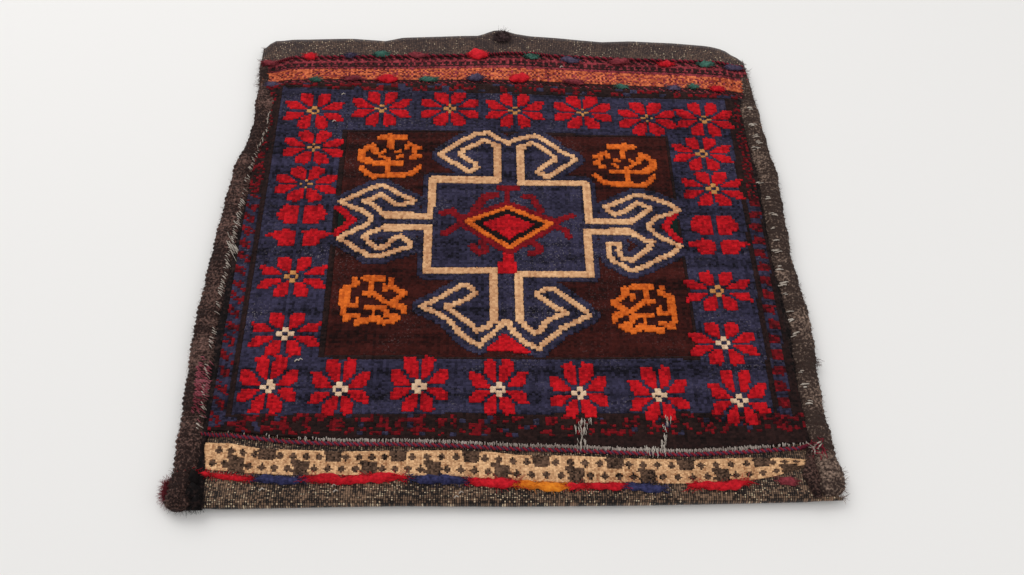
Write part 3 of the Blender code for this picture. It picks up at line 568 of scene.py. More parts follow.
def pattern(x, y):
    """The index into PILE_PIECES of the wool at each knot."""
    wool_of = np.full(np.shape(x), PILE_PIECES.index("guard_pile"))

    def lay(covered, piece):
        wool_of[covered] = PILE_PIECES.index(piece)

    guard_pattern(x, y, wool_of)
    slant = -3.5 * (x + 200) / 400
    lay(within(x, y - slant, BORDER_EDGE), "border_pile")
    lay(block(x, y - slant, *FIELD_LINE), "guard_pile")
    lay(block(x, y - slant, *FIELD), "field_pile")
    columns = LEFT_COLUMN + RIGHT_COLUMN
    for flowers, scale in ((FAR_ROW, FAR_SCALE), (NEAR_ROW, NEAR_SCALE), (columns, COLUMN_SCALE)):
        for at in flowers:
            lay(petals(x, y, at, *scale), "flower_petals")
    for at_x, at_y in SIDE_FLOWERS:
        for lobe in SIDE_LOBES:
            lay(within(np.abs(x - at_x), y - at_y, lobe), "flower_petals")
    for at in FAR_ROW + NEAR_ROW + columns:
        wide, tall, hearts = (2.6, 2.5, "ivory_hearts") if at in IVORY_HEARTS else (2.2, 1.8, "gold_hearts")
        for spot_x, spot_y in HEART_SPOTS:
            lay((np.abs(x - at[0] - spot_x) < wide) & (np.abs(y - at[1] - spot_y) < tall), hearts)
    loop = away(x, y, MEDALLION_LOOP)
    lay((loop < LINE_HALF + HALO) | within(x, y, MEDALLION_LOOP), "medallion_pile")
    for outline in HOOK_GROUNDS:
        lay(within(x, y, outline), "medallion_pile")
    for strokes, sprig_x, sprig_y, turn in SPRIGS:
        for stroke, width in strokes:
            line = [(sprig_x + px * turn, sprig_y + py) for px, py in stroke]
            lay(away(x, y, line) < width / 2, "corner_sprigs")
    for stroke, width in CENTRE_HOOKS:
        lay(away(x, y, stroke) < width / 2 + 0.8, "centre_hooks")
    for stem_block in STEM_BLOCKS:
        lay(block(x, y, *stem_block), "red_accents")
    rim = away(x, y, DIAMOND + DIAMOND[:1])
    inside = within(x, y, DIAMOND)
    lay(rim < 8.5, "centre_hooks")
    lay((rim < RING_OUTSIDE) | inside, "diamond_ring")
    lay(inside & (rim > BAND_INSIDE), "diamond_band")
    lay(inside & (rim > HEART_INSIDE), "red_accents")
    lay(within(x, y, TRIANGLE), "red_accents")
    for ground, line in CHEVRONS:
        lay(within(x, y, ground), "green_accents")
        lay(away(x, y, line) < CHEVRON_HALF, "red_accents")
    lay(loop < np.where(is_hook(x, y), HOOK_LINE_HALF, LINE_HALF), "medallion_line")
    return wool_of


# %% [markdown]
# The pile is one grid of knots with three points across each knot.  The middle of a knot stands up, its
# corners sink into the groove between knots, and random heights keep it lively.  The grid is then cut into
# one piece of mesh for each wool and motif, and each piece is pulled down to the cloth as a closed body.

# %% The knot grid
PILE_LEFT, PILE_RIGHT = -270.0, 260.0
PILE_FAR, PILE_NEAR = 219.0, -235.0
COLUMNS = round((PILE_RIGHT - PILE_LEFT) / KNOT_WIDE)
ROWS = round((PILE_FAR - PILE_NEAR) / KNOT_TALL)
GROOVE = 0.75


def bent_rows(x, y):
    """The outer rows follow the bands, because the cloth was not beaten down evenly."""
    near = np.clip((-y - 120) / 115, 0, 1) ** 2
    far = np.clip((y - 190) / (PILE_FAR - 190), 0, 1) ** 2
    return y + near * (read(NEAR_EDGE, x) - PILE_NEAR) + far * (read(FAR_EDGE, x) - PILE_FAR)


def knot_grid(name, left, right, near, far, columns, rows, bend, groove, seed):
    """A mesh of knots: its vertices carry height above the pile's own level in z."""
    bm = bmesh.new()
    bmesh.ops.create_grid(bm, x_segments=2 * columns, y_segments=2 * rows, size=0.5)
    mesh = bpy.data.meshes.new(name)
    bm.to_mesh(mesh)
    bm.free()
    places = np.empty(len(mesh.vertices) * 3)
    mesh.vertices.foreach_get("co", places)
    places = places.reshape(-1, 3)
    column = np.rint((places[:, 0] + 0.5) * 2 * columns).astype(int)
    row = np.rint((places[:, 1] + 0.5) * 2 * rows).astype(int)
    chance = np.random.default_rng(seed)
    wide = (right - left) / columns
    tall = (far - near) / rows
    x = left + column * wide / 2
    y = near + row * tall / 2
    in_middle = (column % 2 == 1) & (row % 2 == 1)
    in_corner = (column % 2 == 0) & (row % 2 == 0)
    lift = np.where(in_middle, 0.0, np.where(in_corner, -groove, -0.55 * groove))
    lift += chance.normal(0, 0.22 * groove, len(x)) * np.where(in_middle, 1.6, 0.8)
    x += chance.normal(0, 0.09 * wide, len(x))
    y += chance.normal(0, 0.09 * tall, len(x)) - np.where(in_middle, 0.16 * tall, 0)
    mesh.vertices.foreach_set("co", np.stack([x, bend(x, y), lift], 1).ravel())
    middles = np.empty(len(mesh.polygons) * 3)
    mesh.update()
    mesh.polygons.foreach_get("center", middles)
    knot_column = np.tile(np.arange(2 * columns) // 2, 2 * rows)
    knot_row = np.repeat(np.arange(2 * rows) // 2, 2 * columns)
    tone = 0.7 * chance.random(columns * rows)[knot_row * columns + knot_column]
    tone += 0.3 * chance.random(columns)[knot_column]
    mesh.attributes.new("tone", "FLOAT", "FACE").data.foreach_set("value", tone)
    centre_x = left + (knot_column + 0.5) * wide
    centre_y = bend(centre_x, near + (knot_row + 0.5) * tall)
    return mesh, centre_x, centre_y


pile_mesh, knot_x, knot_y = knot_grid("pile_knots", PILE_LEFT, PILE_RIGHT, PILE_NEAR, PILE_FAR, COLUMNS, ROWS,
                                      bent_rows, GROOVE, 7)
print("knots:", COLUMNS, "by", ROWS, "=", COLUMNS * ROWS)

# %% [markdown]
# A piece keeps the faces of its own wool.  They are extruded as one region: the new faces become the tips of
# the wool, and the old ones are pressed flat on the cloth, so that every piece is closed all round.

# %% Cut one wool out of a grid
KNOT_BASE = 0.15


def cut_wool(grid, keep, name, height, material, slot, replaces=()):
    """Make one closed piece from the faces of a grid that keep marks."""
    bm = bmesh.new()
    bm.from_mesh(grid)
    bmesh.ops.delete(bm, geom=[face for face, wanted in zip(bm.faces, keep) if not wanted], context="FACES")
    foot = set(bm.verts)
    bmesh.ops.extrude_face_region(bm, geom=bm.faces[:])
    for vertex in bm.verts:
        level = cloth_top(vertex.co.x, vertex.co.y)
        vertex.co.z = level + KNOT_BASE if vertex in foot else level + height + vertex.co.z
    bmesh.ops.recalc_face_normals(bm, faces=bm.faces)
    return finish(bm, name, material, slot, replaces)


wool_of_face = pattern(knot_x, knot_y)
for index, (piece_name, (height, material, slot, nodes)) in enumerate(PILE_TABLE.items()):
    cut_wool(pile_mesh, wool_of_face == index, piece_name, height, material, slot, nodes)

# %% [markdown]
# The cloth under the pile is a plain weave of dark brown wool.  Its warp shows as fine ribs along the bag,
# and single light warp threads come through as cream specks, mostly close to the fold.  The weave is too
# fine to model, so a node group draws threads, specks and bump from Object coordinates.

# %% The plain weave
WARP_PITCH, WEFT_PITCH = 0.002, 0.0016       # metres


def weave_group():
    """Colour and surface of the flat-woven cloth."""
    tree, given, out = new_group(
        "plain_weave",
        [("Dark", "Color", (0, 0, 0, 1)), ("Light", "Color", (1, 1, 1, 1)), ("Speck", "Color", (1, 1, 1, 1)),
         ("Specks", "Float", 0.3)],
        [("Color", "Color"), ("Roughness", "Float"), ("Normal", "Vector")])
    place = node(tree, "TexCoord").outputs["Object"]
    threads = node(tree, "Mapping", {"Vector": place, "Scale": (1 / WARP_PITCH, 1 / WEFT_PITCH, 0.0)}).outputs[0]
    wobble = node(tree, "TexNoise", {"Vector": place, "Scale": 120.0, "Detail": 2.0})
    bent = node(tree, "VectorMath", {0: wobble.outputs["Color"], 1: (0.9, 0.9, 0.0), 2: threads},
                operation="MULTIPLY_ADD").outputs[0]
    cell = node(tree, "VectorMath", {0: bent}, operation="FLOOR").outputs[0]
    chance = node(tree, "TexWhiteNoise", {"Vector": cell}, noise_dimensions="3D")
    inner = node(tree, "VectorMath", {0: bent}, operation="FRACTION").outputs[0]
    part = node(tree, "SeparateXYZ", {0: inner}).outputs
    across = maths(tree, "PINGPONG", maths(tree, "MULTIPLY", part[0], 2.0), 1.0)
    along = maths(tree, "PINGPONG", maths(tree, "MULTIPLY", part[1], 2.0), 1.0)
    thread = maths(tree, "MULTIPLY", across, maths(tree, "MULTIPLY_ADD", along, 0.6, 0.4))
    level = maths(tree, "MULTIPLY_ADD", maths(tree, "SUBTRACT", noise(tree, place, 30.0, 3.0), 0.5), 1.1, -0.14)
    level = maths(tree, "MULTIPLY_ADD", thread, 0.85, level)
    level = maths(tree, "MULTIPLY_ADD", maths(tree, "SUBTRACT", chance.outputs[0], 0.5), 0.8, level, clamp=True)
    wool_colour = mix(tree, level, given["Dark"], given["Light"])
    far = node(tree, "SeparateXYZ", {0: place}).outputs[1]
    mouthward = maths(tree, "MULTIPLY_ADD", far, 5.0, -0.5, clamp=True)
    wool_colour = mix(tree, maths(tree, "MULTIPLY", mouthward, 0.6), wool_colour, dye(0.21, 0.125, 0.12))
    clusters = maths(tree, "SUBTRACT", noise(tree, place, 52.0, 2.0), 0.44)
    thick = maths(tree, "MULTIPLY", clusters, 4.0, clamp=True)
    common = maths(tree, "MULTIPLY_ADD", thick, given["Specks"], 0.05)
    common = maths(tree, "MULTIPLY", common, maths(tree, "MULTIPLY_ADD", mouthward, -0.6, 1.0))
    rare = maths(tree, "SUBTRACT", 1.0, common)
    chances = node(tree, "SeparateXYZ", {0: chance.outputs["Color"]}).outputs
    shown = maths(tree, "GREATER_THAN", chances[1], rare)
    round_dot = maths(tree, "GREATER_THAN", maths(tree, "MULTIPLY", across, along), 0.3)
    strength = maths(tree, "MULTIPLY_ADD", chances[2], 0.7, 0.2)
    speck = maths(tree, "MULTIPLY", maths(tree, "MULTIPLY", shown, round_dot), strength)
    tree.links.new(mix(tree, speck, wool_colour, given["Speck"]), out["Color"])
    tree.links.new(maths(tree, "MULTIPLY_ADD", thread, -0.1, 0.95), out["Roughness"])
    height = maths(tree, "MULTIPLY_ADD", speck, 0.6, thread)
    tree.links.new(node(tree, "Bump", {"Height": height, "Strength": 0.7, "Distance": 0.0007}).outputs[0],
                   out["Normal"])
    return tree


BAG_CLOTH = yarn_material("bag_cloth_weave", weave_group(), {
    "Dark": dye(0.08, 0.055, 0.045), "Light": dye(0.60, 0.47, 0.37), "Speck": dye(0.90, 0.80, 0.66),
    "Specks": 0.30}, sheen=0.2, specular=0.2)

# %% [markdown]
# The bag is one length of cloth, so it is one sheet here too.  A grid is laid along the path that the cloth
# takes: from the mouth along the back, round the fold, and along the front to the mouth again.  Solidify
# then gives it the thickness of the weave.

# %% The folded cloth
CLOTH_WIDE = 562.0
CLOTH_COLUMNS = 88
CLOTH_ROWS = 236
FOLD_SHARE = 0.02            # share of the rows that go round the fold
BACK_SHORTER = 2.0           # the back half ends this much inside the front half's mouth
EDGE_INSIDE = [(196, 8.0), (216, 0.8)]     # how far inside the outer edge the cloth ends, by place


def cloth_back(x, y):
    """Height of the back cloth's middle surface: flat on the floor, up to the binding at the sides."""
    rise = np.clip((abs(x) - FLAT_HALF) / (PINCH_HALF - FLAT_HALF), 0, 1)
    return CLOTH_THICK / 2 + (PINCH_Z - CLOTH_THICK - SEAM_GAP) * rise


def cloth_place(across, along):
    """A place on the folded sheet, for shares across and along it."""
    front = along > 0.5
    run = (abs(along - 0.5) - FOLD_SHARE) / (0.5 - FOLD_SHARE)
    x = (across - 0.5) * CLOTH_WIDE
    mouth = read(MOUTH, x) - (0 if front else BACK_SHORTER)
    fold = read(FOLD_EDGE, x)
    top = cloth_top(x, fold) - CLOTH_THICK / 2
    low = cloth_back(x, fold)
    radius = (top - low) / 2
    turn_y = fold + CLOTH_THICK / 2 + radius
    if run < 0:
        turn = pi / 2 * (along - 0.5) / FOLD_SHARE
        return x, turn_y - radius * cos(turn), (top + low) / 2 + radius * sin(turn)
    y = turn_y + (mouth - turn_y) * run
    inside = read(EDGE_INSIDE, y)
    left = read(LEFT_SIDE, y) + inside
    right = read(RIGHT_SIDE, y) - inside
    x = left + (right - left) * across
    z = cloth_top(x, y) - CLOTH_THICK / 2 if front else cloth_back(x, y)
    return x, y, z


bm = bmesh.new()
bmesh.ops.create_grid(bm, x_segments=CLOTH_COLUMNS, y_segments=CLOTH_ROWS, size=0.5)
for vertex in bm.verts:
    vertex.co = cloth_place(vertex.co.x + 0.5, vertex.co.y + 0.5)
folded_cloth = finish(bm, "folded_cloth", BAG_CLOTH, "cloth", ["bag_cloth"])
thickness = folded_cloth.modifiers.new("thickness", "SOLIDIFY")
thickness.thickness = CLOTH_THICK * MM
thickness.offset = 0

# %% [markdown]
# The two flat-woven bands carry brocade: coloured wool laid in with the weft.  They are made like the pile,
# from a grid of stitches that follows the band's own edges, only lower and with a finer step.

# %% The cream brocade by the fold
BROCADE_TOP = [(-270, -220), (-250, -222), (-225, -227), (-200, -229), (-150, -232), (-50, -232), (-20, -234),
               (0, -237), (50, -239), (100, -243), (150, -245.5), (200, -244), (230, -244.5), (262, -247)]
BROCADE_LOW = [(-270, -245), (-235, -250), (-200, -253), (-100, -255.5), (-50, -257), (0, -262), (50, -265),
               (100, -266.5), (150, -268), (200, -266), (225, -262), (245, -256), (262, -250.5)]
TOP_NOTCHES = [-268, -216, -159, -103, -40, 21, 85, 147, 214, 266]
LOW_BLOCKS = [-292, -241, -186, -127, -72, -13, 51, 113, 178, 238]
BROCADE_LEFT, BROCADE_RIGHT, BROCADE_TALL = -271.0, 262.0, 26.0
BROCADE_STITCHES = (322, 18)           # across the bag and up the band
DOT_WIDE, DOT_TALL = 3.6, 0.16         # half sizes: millimetres, share of the band
DOTS_BETWEEN = 4
FIGURE_END, BROCADE_END = 244, 256     # where the figure fades out and where the brocade ends


def dots(x, share, places, level):
    """Small diamonds spaced evenly between each pair of places."""
    covered = np.zeros(np.shape(x), bool)
    for left, right in zip(places, places[1:]):
        for i in range(DOTS_BETWEEN):
            at = left + (right - left) * (i + 1) / (DOTS_BETWEEN + 1)
            covered |= np.abs(x - at) / DOT_WIDE + np.abs(share - level) / DOT_TALL < 1.05
    return covered


def brocade_share(x, y):
    """How far up the band a stitch lies, from 0 at its near edge to 1."""
    low = read(BROCADE_LOW, x)
    return (y - low) / (read(BROCADE_TOP, x) - low)


def brocade_is_cream(x, y):
    """The cream figure: a strip with notches above, blocks below and two rows of dots."""
    share = brocade_share(x, y)
    brown = dots(x, share, TOP_NOTCHES, 0.74) | dots(x, share, LOW_BLOCKS, 0.26)
    ragged = 2.4 * (scatter(x * 0, share, 1, 0.12, 8.0) - 0.5)
    for at in TOP_NOTCHES[1:-1]:
        brown |= (np.abs(x - at - ragged) < 6 + 5 * (share - 0.5)) & (share > 0.53)
    for at in LOW_BLOCKS[1:]:
        brown |= (np.abs(x - at - ragged) < 7) & (share < 0.55)
        brown |= (np.abs(x - at + 5 - ragged) < 4) & (share > 0.45) & (share < 0.62)
    brown |= (x > FIGURE_END) & (share < 0.3)
    return ~brown


def brocade_rows(x, y):
    """Stitches of the near band run between its two slanting edges."""
    return read(BROCADE_LOW, x) + (y / BROCADE_TALL) * (read(BROCADE_TOP, x) - read(BROCADE_LOW, x))


STITCH_GROOVE = 0.9
BROCADE_CREAM = wool("brocade_cream", (0.64, 0.44, 0.30), (0.99, 0.80, 0.60), knots=1.0, size=700.0)
BROCADE_BROWN = wool("brocade_brown", (0.10, 0.07, 0.055), (0.46, 0.35, 0.28), knots=1.2, size=700.0)
stitches, stitch_x, stitch_y = knot_grid("brocade_stitches", BROCADE_LEFT, BROCADE_RIGHT, 0.0,
                                         BROCADE_TALL, *BROCADE_STITCHES, brocade_rows, STITCH_GROOVE, 11)
cream = brocade_is_cream(stitch_x, stitch_y)
brocaded = stitch_x <= BROCADE_END
cut_wool(stitches, cream & brocaded, "near_brocade_cream", 1.3, BROCADE_CREAM, "cream", ["near_brocade"])
cut_wool(stitches, ~cream & brocaded, "near_brocade_brown", 1.05, BROCADE_BROWN, "cloth")

# %% [markdown]
# The far band has several strips: chains of black ovals in crimson, dark red plain strips, and a row of
# orange diamonds that turns almost wholly orange towards both ends.

# %% The striped band by the mouth
BAND_FAR = [(-282, 255), (-262, 257.5), (-245, 261), (-200, 264), (-150, 267), (-100, 271), (-50, 275), (0, 279),
            (50, 277), (100, 275), (200, 272), (278, 267)]
BAND_HALF, BAND_TALL = 277.0, 50.0
BAND_STITCHES = (258, 26)
TWIST_PITCH, OVAL_PITCH, SLOPE_PITCH, DIAMOND_PITCH = 8.6, 8.2, 9.6, 17.4


def band_rows(x, y):
    """Stitches of the far band bow out with the mouth."""
    return read(FAR_EDGE, x) + (read(BAND_FAR, x) - read(FAR_EDGE, x)) * y / BAND_TALL


def band_pattern(x, y):
    """Which wool each stitch of the far band has: 0 crimson, 1 black, 2 orange."""
    share = (y - read(FAR_EDGE, x)) / (read(BAND_FAR, x) - read(FAR_EDGE, x))
    wool_of = np.zeros(np.shape(x), int)
    twist = np.abs((x + 60 * share) % TWIST_PITCH - TWIST_PITCH / 2)
    wool_of[(share < 0.15) & (twist < 2.7)] = 1
    wool_of[(share > 0.15) & (share < 0.18)] = 1
    oval = np.hypot((x % OVAL_PITCH - OVAL_PITCH / 2) / 3.1, (share - 0.765) / 0.062)
    wool_of[(oval < 1.0) | ((share > 0.67) & (share < 0.685))] = 1
    slope = np.abs((x + 55 * share) % SLOPE_PITCH - SLOPE_PITCH / 2)
    wool_of[(share > 0.885) & (slope < 2.6)] = 1
    level = (share - 0.385) / 0.205
    phase = np.abs(x % DIAMOND_PITCH / (DIAMOND_PITCH / 2) - 1)
    figure = phase + np.abs(level)
    ends = (x < -222) | (x > 236)
    orange = (figure < 1.1) & ~((figure > 0.48) & (figure < 0.68)) & (figure > 0.18)
    orange |= (figure > 1.26) & (np.abs(level) < 1)
    orange = np.where(ends, (np.abs(level) < 1) & ~((figure > 0.5) & (figure < 0.64)), orange)
    worn = scatter(x, y, 2.15, 1.9, 9.0) < 0.12
    wool_of[orange & (np.abs(level) < 1) & ~worn] = 2
    return wool_of


BAND_RED = wool("band_crimson", (0.28, 0.09, 0.11), (0.66, 0.26, 0.29), abrash=0.5, knots=1.3, size=700.0)
BAND_BLACK = wool("band_black", (0.07, 0.04, 0.04), (0.27, 0.15, 0.15), knots=0.9, size=700.0)
BAND_ORANGE = wool("band_orange", (0.60, 0.24, 0.15), (0.93, 0.50, 0.32), knots=1.3, size=700.0)
stitches, stitch_x, stitch_y = knot_grid("band_stitches", -BAND_HALF, BAND_HALF, 0.0, BAND_TALL,
                                         *BAND_STITCHES, band_rows, STITCH_GROOVE, 13)
band_wool = band_pattern(stitch_x, stitch_y)
cut_wool(stitches, band_wool == 0, "far_band_red", 1.2, BAND_RED, "crimson",
         ["far_brocade_ground", "far_chain_upper", "far_chain_lower"])
cut_wool(stitches, band_wool == 1, "far_band_black", 1.0, BAND_BLACK, "black")
cut_wool(stitches, band_wool == 2, "far_band_orange", 1.35, BAND_ORANGE, "orange",
         ["far_brocade_diamonds"])

# %% [markdown]
# Thread, cord and hair all need the same thing: a thin tube along a line.  `strand` makes one with three or
# more sides and a pointed end, and closes both ends, so that even a single hair is a solid body.

# %% Strands
HAIR_STEPS = 3
HAIR_STRAY = 0.5


def strand(bm, line, thick, sides=3, tip=0.25):
    """A closed tube along a line of points, thinning towards its tip."""
    points = [Vector(point) for point in line]
    rings = []
    for i, point in enumerate(points):
        ahead = (points[min(i + 1, len(points) - 1)] - points[max(i - 1, 0)]).normalized()
        aside = ahead.cross(Vector((0, 0, 1)))
        if aside.length < 0.05:
            aside = ahead.cross(Vector((0, 1, 0)))
        aside.normalize()
        above = aside.cross(ahead)
        size = thick * (1 - (1 - tip) * i / (len(points) - 1))
        turns = [2 * pi * k / sides for k in range(sides)]
        rings.append([bm.verts.new(point + aside * size * cos(turn) + above * size * sin(turn))
                      for turn in turns])
    for near, far in zip(rings, rings[1:]):
        for k in range(sides):
            bm.faces.new((near[k], near[(k + 1) % sides], far[(k + 1) % sides], far[k]))
    bm.faces.new(rings[0][::-1])
    bm.faces.new(rings[-1])


def tube(bm, steps, around, shape):
    """A closed tube from a grid: shape(along, turn) gives the place for shares along and around it."""
    made = bmesh.ops.create_grid(bm, x_segments=steps, y_segments=around, size=0.5)
    for vertex in made["verts"]:
        vertex.co = shape(vertex.co.x + 0.5, 2 * pi * (vertex.co.y + 0.5))
    bmesh.ops.remove_doubles(bm, verts=made["verts"], dist=0.0005)
    open_edges = [edge for edge in bm.edges if edge.is_boundary]
    bmesh.ops.holes_fill(bm, edges=open_edges, sides=around + 2)
    bmesh.ops.recalc_face_normals(bm, faces=bm.faces)


def wander(rng, start, heading, length, lift):
    """The line of one loose hair: it sets off on a heading and strays from it."""
    point, way = Vector(start), Vector(heading).normalized()
    line = [point.copy()]
    for _ in range(HAIR_STEPS):
        way = (way + Vector([rng.uniform(-HAIR_STRAY, HAIR_STRAY) for _ in range(3)])).normalized()
        way.z += lift
        point = point + way * (length / HAIR_STEPS)
        point.z = max(point.z, 0.4)
        line.append(point.copy())
    return line


def loose_hair(bm, rng, start, heading, lengths, lift, thicks):
    """One loose hair, its length and its thickness drawn from two ranges."""
    line = wander(rng, start, heading, rng.uniform(*lengths), lift)
    strand(bm, line, rng.uniform(*thicks))


# %% [markdown]
# Both sides are bound with goat hair, wound over the two edges of cloth.  The windings are ridges that slant
# round a flattened rope.  Goat hair is stiff and does not lie down, so short hairs stand out everywhere.

# %% Goat hair
GOAT_HAIR = wool("goat_hair", (0.15, 0.10, 0.09), (0.66, 0.50, 0.45), knots=0.9, fibre=1.6, size=500.0)
BEIGE_HAIR = wool("beige_goat_hair", (0.22, 0.17, 0.15), (0.86, 0.73, 0.64), knots=1.0, fibre=1.6, size=450.0)
MOUTH_HAIR = wool("mouth_hair", (0.20, 0.15, 0.15), (0.50, 0.39, 0.39), knots=0.8, fibre=1.2, size=300.0)
LOOSE_HAIR = wool("loose_goat_hair", (0.30, 0.21, 0.19), (0.90, 0.76, 0.68), knots=0.9, fibre=1.2, size=230.0)
# Dark goat hair for the corner lump; on the selvedges its near-black colour is painted shade.
DARK_HAIR_AND_SHADE = wool("dark_goat_hair_and_shade", (0.07, 0.05, 0.05), (0.35, 0.26, 0.24), knots=0.9, fibre=1.4, size=300.0)
STITCH_WOOL = wool("repair_thread", (0.60, 0.54, 0.49), (0.94, 0.91, 0.86), fibre=0.8, size=500.0)
PALE_FLOSS = wool("pale_floss", (0.48, 0.42, 0.39), (0.90, 0.85, 0.80), fibre=0.8, size=500.0)
BINDING_FAR = 283.0
BINDING_NEAR = -281.0
WIND_PITCH = 5.0
BINDING_HALF = 11.6
BINDING_STEPS = (420, 22)    # along and around
BINDING_LEVEL, BINDING_HIGH = 7.2, 7.4       # height of the rope's middle, and half its own height
THINNING = [(196, 1.0), (216, 0.6), (250, 0.5), (264, 0.1)]      # the binding thins out along the far band


def binding_centre(side, y):
    """Middle line of a binding, from its measured outer edge."""
    thin = read(THINNING, y)
    half = BINDING_HALF * thin
    return read(LEFT_SIDE, y) - 3 * thin + half if side < 0 else read(RIGHT_SIDE, y) - half


def binding_shape(side, along, turn, bumps):
    """A place on the wound surface of a binding."""
    y = BINDING_NEAR + (BINDING_FAR - BINDING_NEAR) * along
    thin = read(THINNING, y)
    ridge = abs(sin(pi * (y / WIND_PITCH + side * turn / pi + 0.4 * sin(y / 23))))
    swell = 1 + bumps * (0.20 * (ridge - 0.6) + 0.05 * sin(y / 7.3) + 0.05 * sin(y / 3.1 + 3 * turn))
    size = swell * thin * min(1.0, min(along, 1 - along) * 60 + 0.45)
    x = binding_centre(side, y) - side * (BINDING_HALF - 0.2) * size * cos(turn)
    return x, y, max(BINDING_LEVEL + 0.4 * thin + BINDING_HIGH * size * sin(turn), 0.15)


def hair_start(rng, side):
    """A random place on the upper half of a binding, and the direction away from its middle."""
    along = (rng.uniform(BINDING_NEAR, BINDING_FAR) - BINDING_NEAR) / (BINDING_FAR - BINDING_NEAR)
    turn = rng.uniform(-0.2, pi + 0.2)
    place = Vector(binding_shape(side, along, turn, 0))
    middle_line = Vector((binding_centre(side, place.y), place.y, BINDING_LEVEL))
    return place, (place - middle_line).normalized()


def binding_hair(side, seed, lying, standing):
    """Hairs of one binding: most lie along the windings, some stand out."""
    rng = random.Random(seed)
    bm = bmesh.new()
    for i in range(lying + standing):
        place, out = hair_start(rng, side)
        along_rope = Vector((rng.uniform(-0.6, 0.6), rng.choice((-1, 1)), rng.uniform(-0.3, 0.3)))
        if i < lying:
            heading, length, lift = along_rope + out * 0.3, (2.5, 6), -0.02
        else:
            heading, length, lift = out + along_rope * rng.uniform(0, 1.4), (1.5, 5.5), -0.12
        loose_hair(bm, rng, place - out * 0.5, heading, length, lift, (0.12, 0.22))
    return bm


for side, side_name, lying, standing, hair in ((-1, "left", 3200, 500, GOAT_HAIR),
                                               (1, "right", 3000, 620, BEIGE_HAIR)):
    bm = bmesh.new()
    tube(bm, *BINDING_STEPS, lambda along, turn: binding_shape(side, along, turn, 1))
    finish(bm, f"{side_name}_wound_binding", hair, "goat", [f"{side_name}_side_binding"])
    finish(binding_hair(side, 21 + side, lying, standing), f"{side_name}_binding_hair", LOOSE_HAIR,
           "goat")

# %% [markdown]
# Between each binding and the pile runs the selvedge: the outermost warps, wrapped with hair into a flat
# band.  Its near-black colour is painted shade: it stands in for the shade in the hollow between the raised
# binding and the pile.  It also carries on past the pile, along the near band, where the right one has gone
# brown and fuzzy.

# %% The selvedges
SELVEDGE_LEFT = [(-283, -264), (-246, -266), (-224, -271), (-212, -268), (-100, -266), (216, -266)]
SELVEDGE_IN = 8.5            # it starts this far inside the binding's middle line
WRAP_PITCH = 3.4
SELVEDGE_RIGHT = [(-283, 256), (-262, 248), (-246, 254), (-230, 259), (-100, 257), (216, 257)]


def selvedge(name, side, inner, near, far, material, high, hairs):
    """A flat wrapped band from the middle of a binding to the edge of the pile."""
    def shape(along, turn):
        y = near + (far - near) * along
        outer_x = binding_centre(side, y) - side * SELVEDGE_IN
        inner_x = read(inner, y)
        wraps = 1 + 0.12 * sin(2 * pi * y / WRAP_PITCH + turn) + 0.08 * sin(y / 5.1)
        x = (outer_x + inner_x) / 2 + (outer_x - inner_x) / 2 * cos(turn)
        level = cloth_top(x, y)
        return x, y, level + max(sin(turn), -0.3) * high * wraps

    bm = bmesh.new()
    tube(bm, round((far - near) / 1.3), 14, shape)
    rng = random.Random(len(name))
    for _ in range(hairs):
        x, y, z = shape(rng.random(), rng.uniform(0.3, pi - 0.3))
        heading = (rng.uniform(-0.7, 0.7), rng.choice((-1, 1)), rng.uniform(0, 0.35))
        loose_hair(bm, rng, (x, y, z), heading, (2.5, 6), -0.05, (0.14, 0.26))
    finish(bm, name, material, "goat")


# The near-black hair of these two bands is painted shade for the hollow between each binding and the pile.
selvedge("left_selvedge", -1, SELVEDGE_LEFT, -282, 214, DARK_HAIR_AND_SHADE, 2.2, 900)
selvedge("right_selvedge", 1, SELVEDGE_RIGHT, -228, 214, DARK_HAIR_AND_SHADE, 2.2, 700)
selvedge("right_selvedge_fuzz", 1, SELVEDGE_RIGHT, -282, -230, GOAT_HAIR, 2.6, 700)

# %% [markdown]
# The bindings have been caught down again later with pale thread.  On the left the thread shows as a close
# row of short flecks along the inner shoulder of the binding, with one frayed bundle, and on the right it
# shows in a few places only.  A short stretch of the left binding is caught down with maroon thread instead.

# %% Repair stitches
STITCHES_SHOW = [(-214, 0.55), (-150, 0.45), (-60, 0.6), (-30, 0.9), (25, 1.0), (45, 0.6), (90, 0.65),
                 (138, 0.9), (175, 1.0)]
RIGHT_FLECKS = [(270, 195, 4), (270, 169, 7), (270, 152, 6), (271, 142, 3), (269, 133, 4), (264, 83, 3),
                (270, 60, 2), (270, 38, 3), (268, 20, 2), (268, 5, 2), (267, -12, 7), (267, -33, 5),
                (266, -51, 6), (267, -65, 2),
                (268, -83, 2), (268, -96, 3), (267, -113, 3), (268, -155, 2), (265, -172, 4), (267, -188, 3),
                (267, -236, 12)]


def shoulder(side, x, y):
    """Height of the surface between the middle of a binding and the pile."""
    across = min(abs(x - binding_centre(side, y)) / BINDING_HALF, 1.0)
    return max(7.6 + 7.6 * (1 - across * across) ** 0.5, cloth_top(x, y) + 2.3)


def stitch(bm, side, x, y, heading, length, thick):
    """One length of pale thread that lies over the shoulder of a binding."""
    line = []
    for i in range(5):
        at_x, at_y = x + heading[0] * length * i / 4, y + heading[1] * length * i / 4
        line.append((at_x, at_y, shoulder(side, at_x, at_y) + 0.1 + 0.5 * sin(pi * i / 4)))
    strand(bm, line, thick, sides=5, tip=0.7)


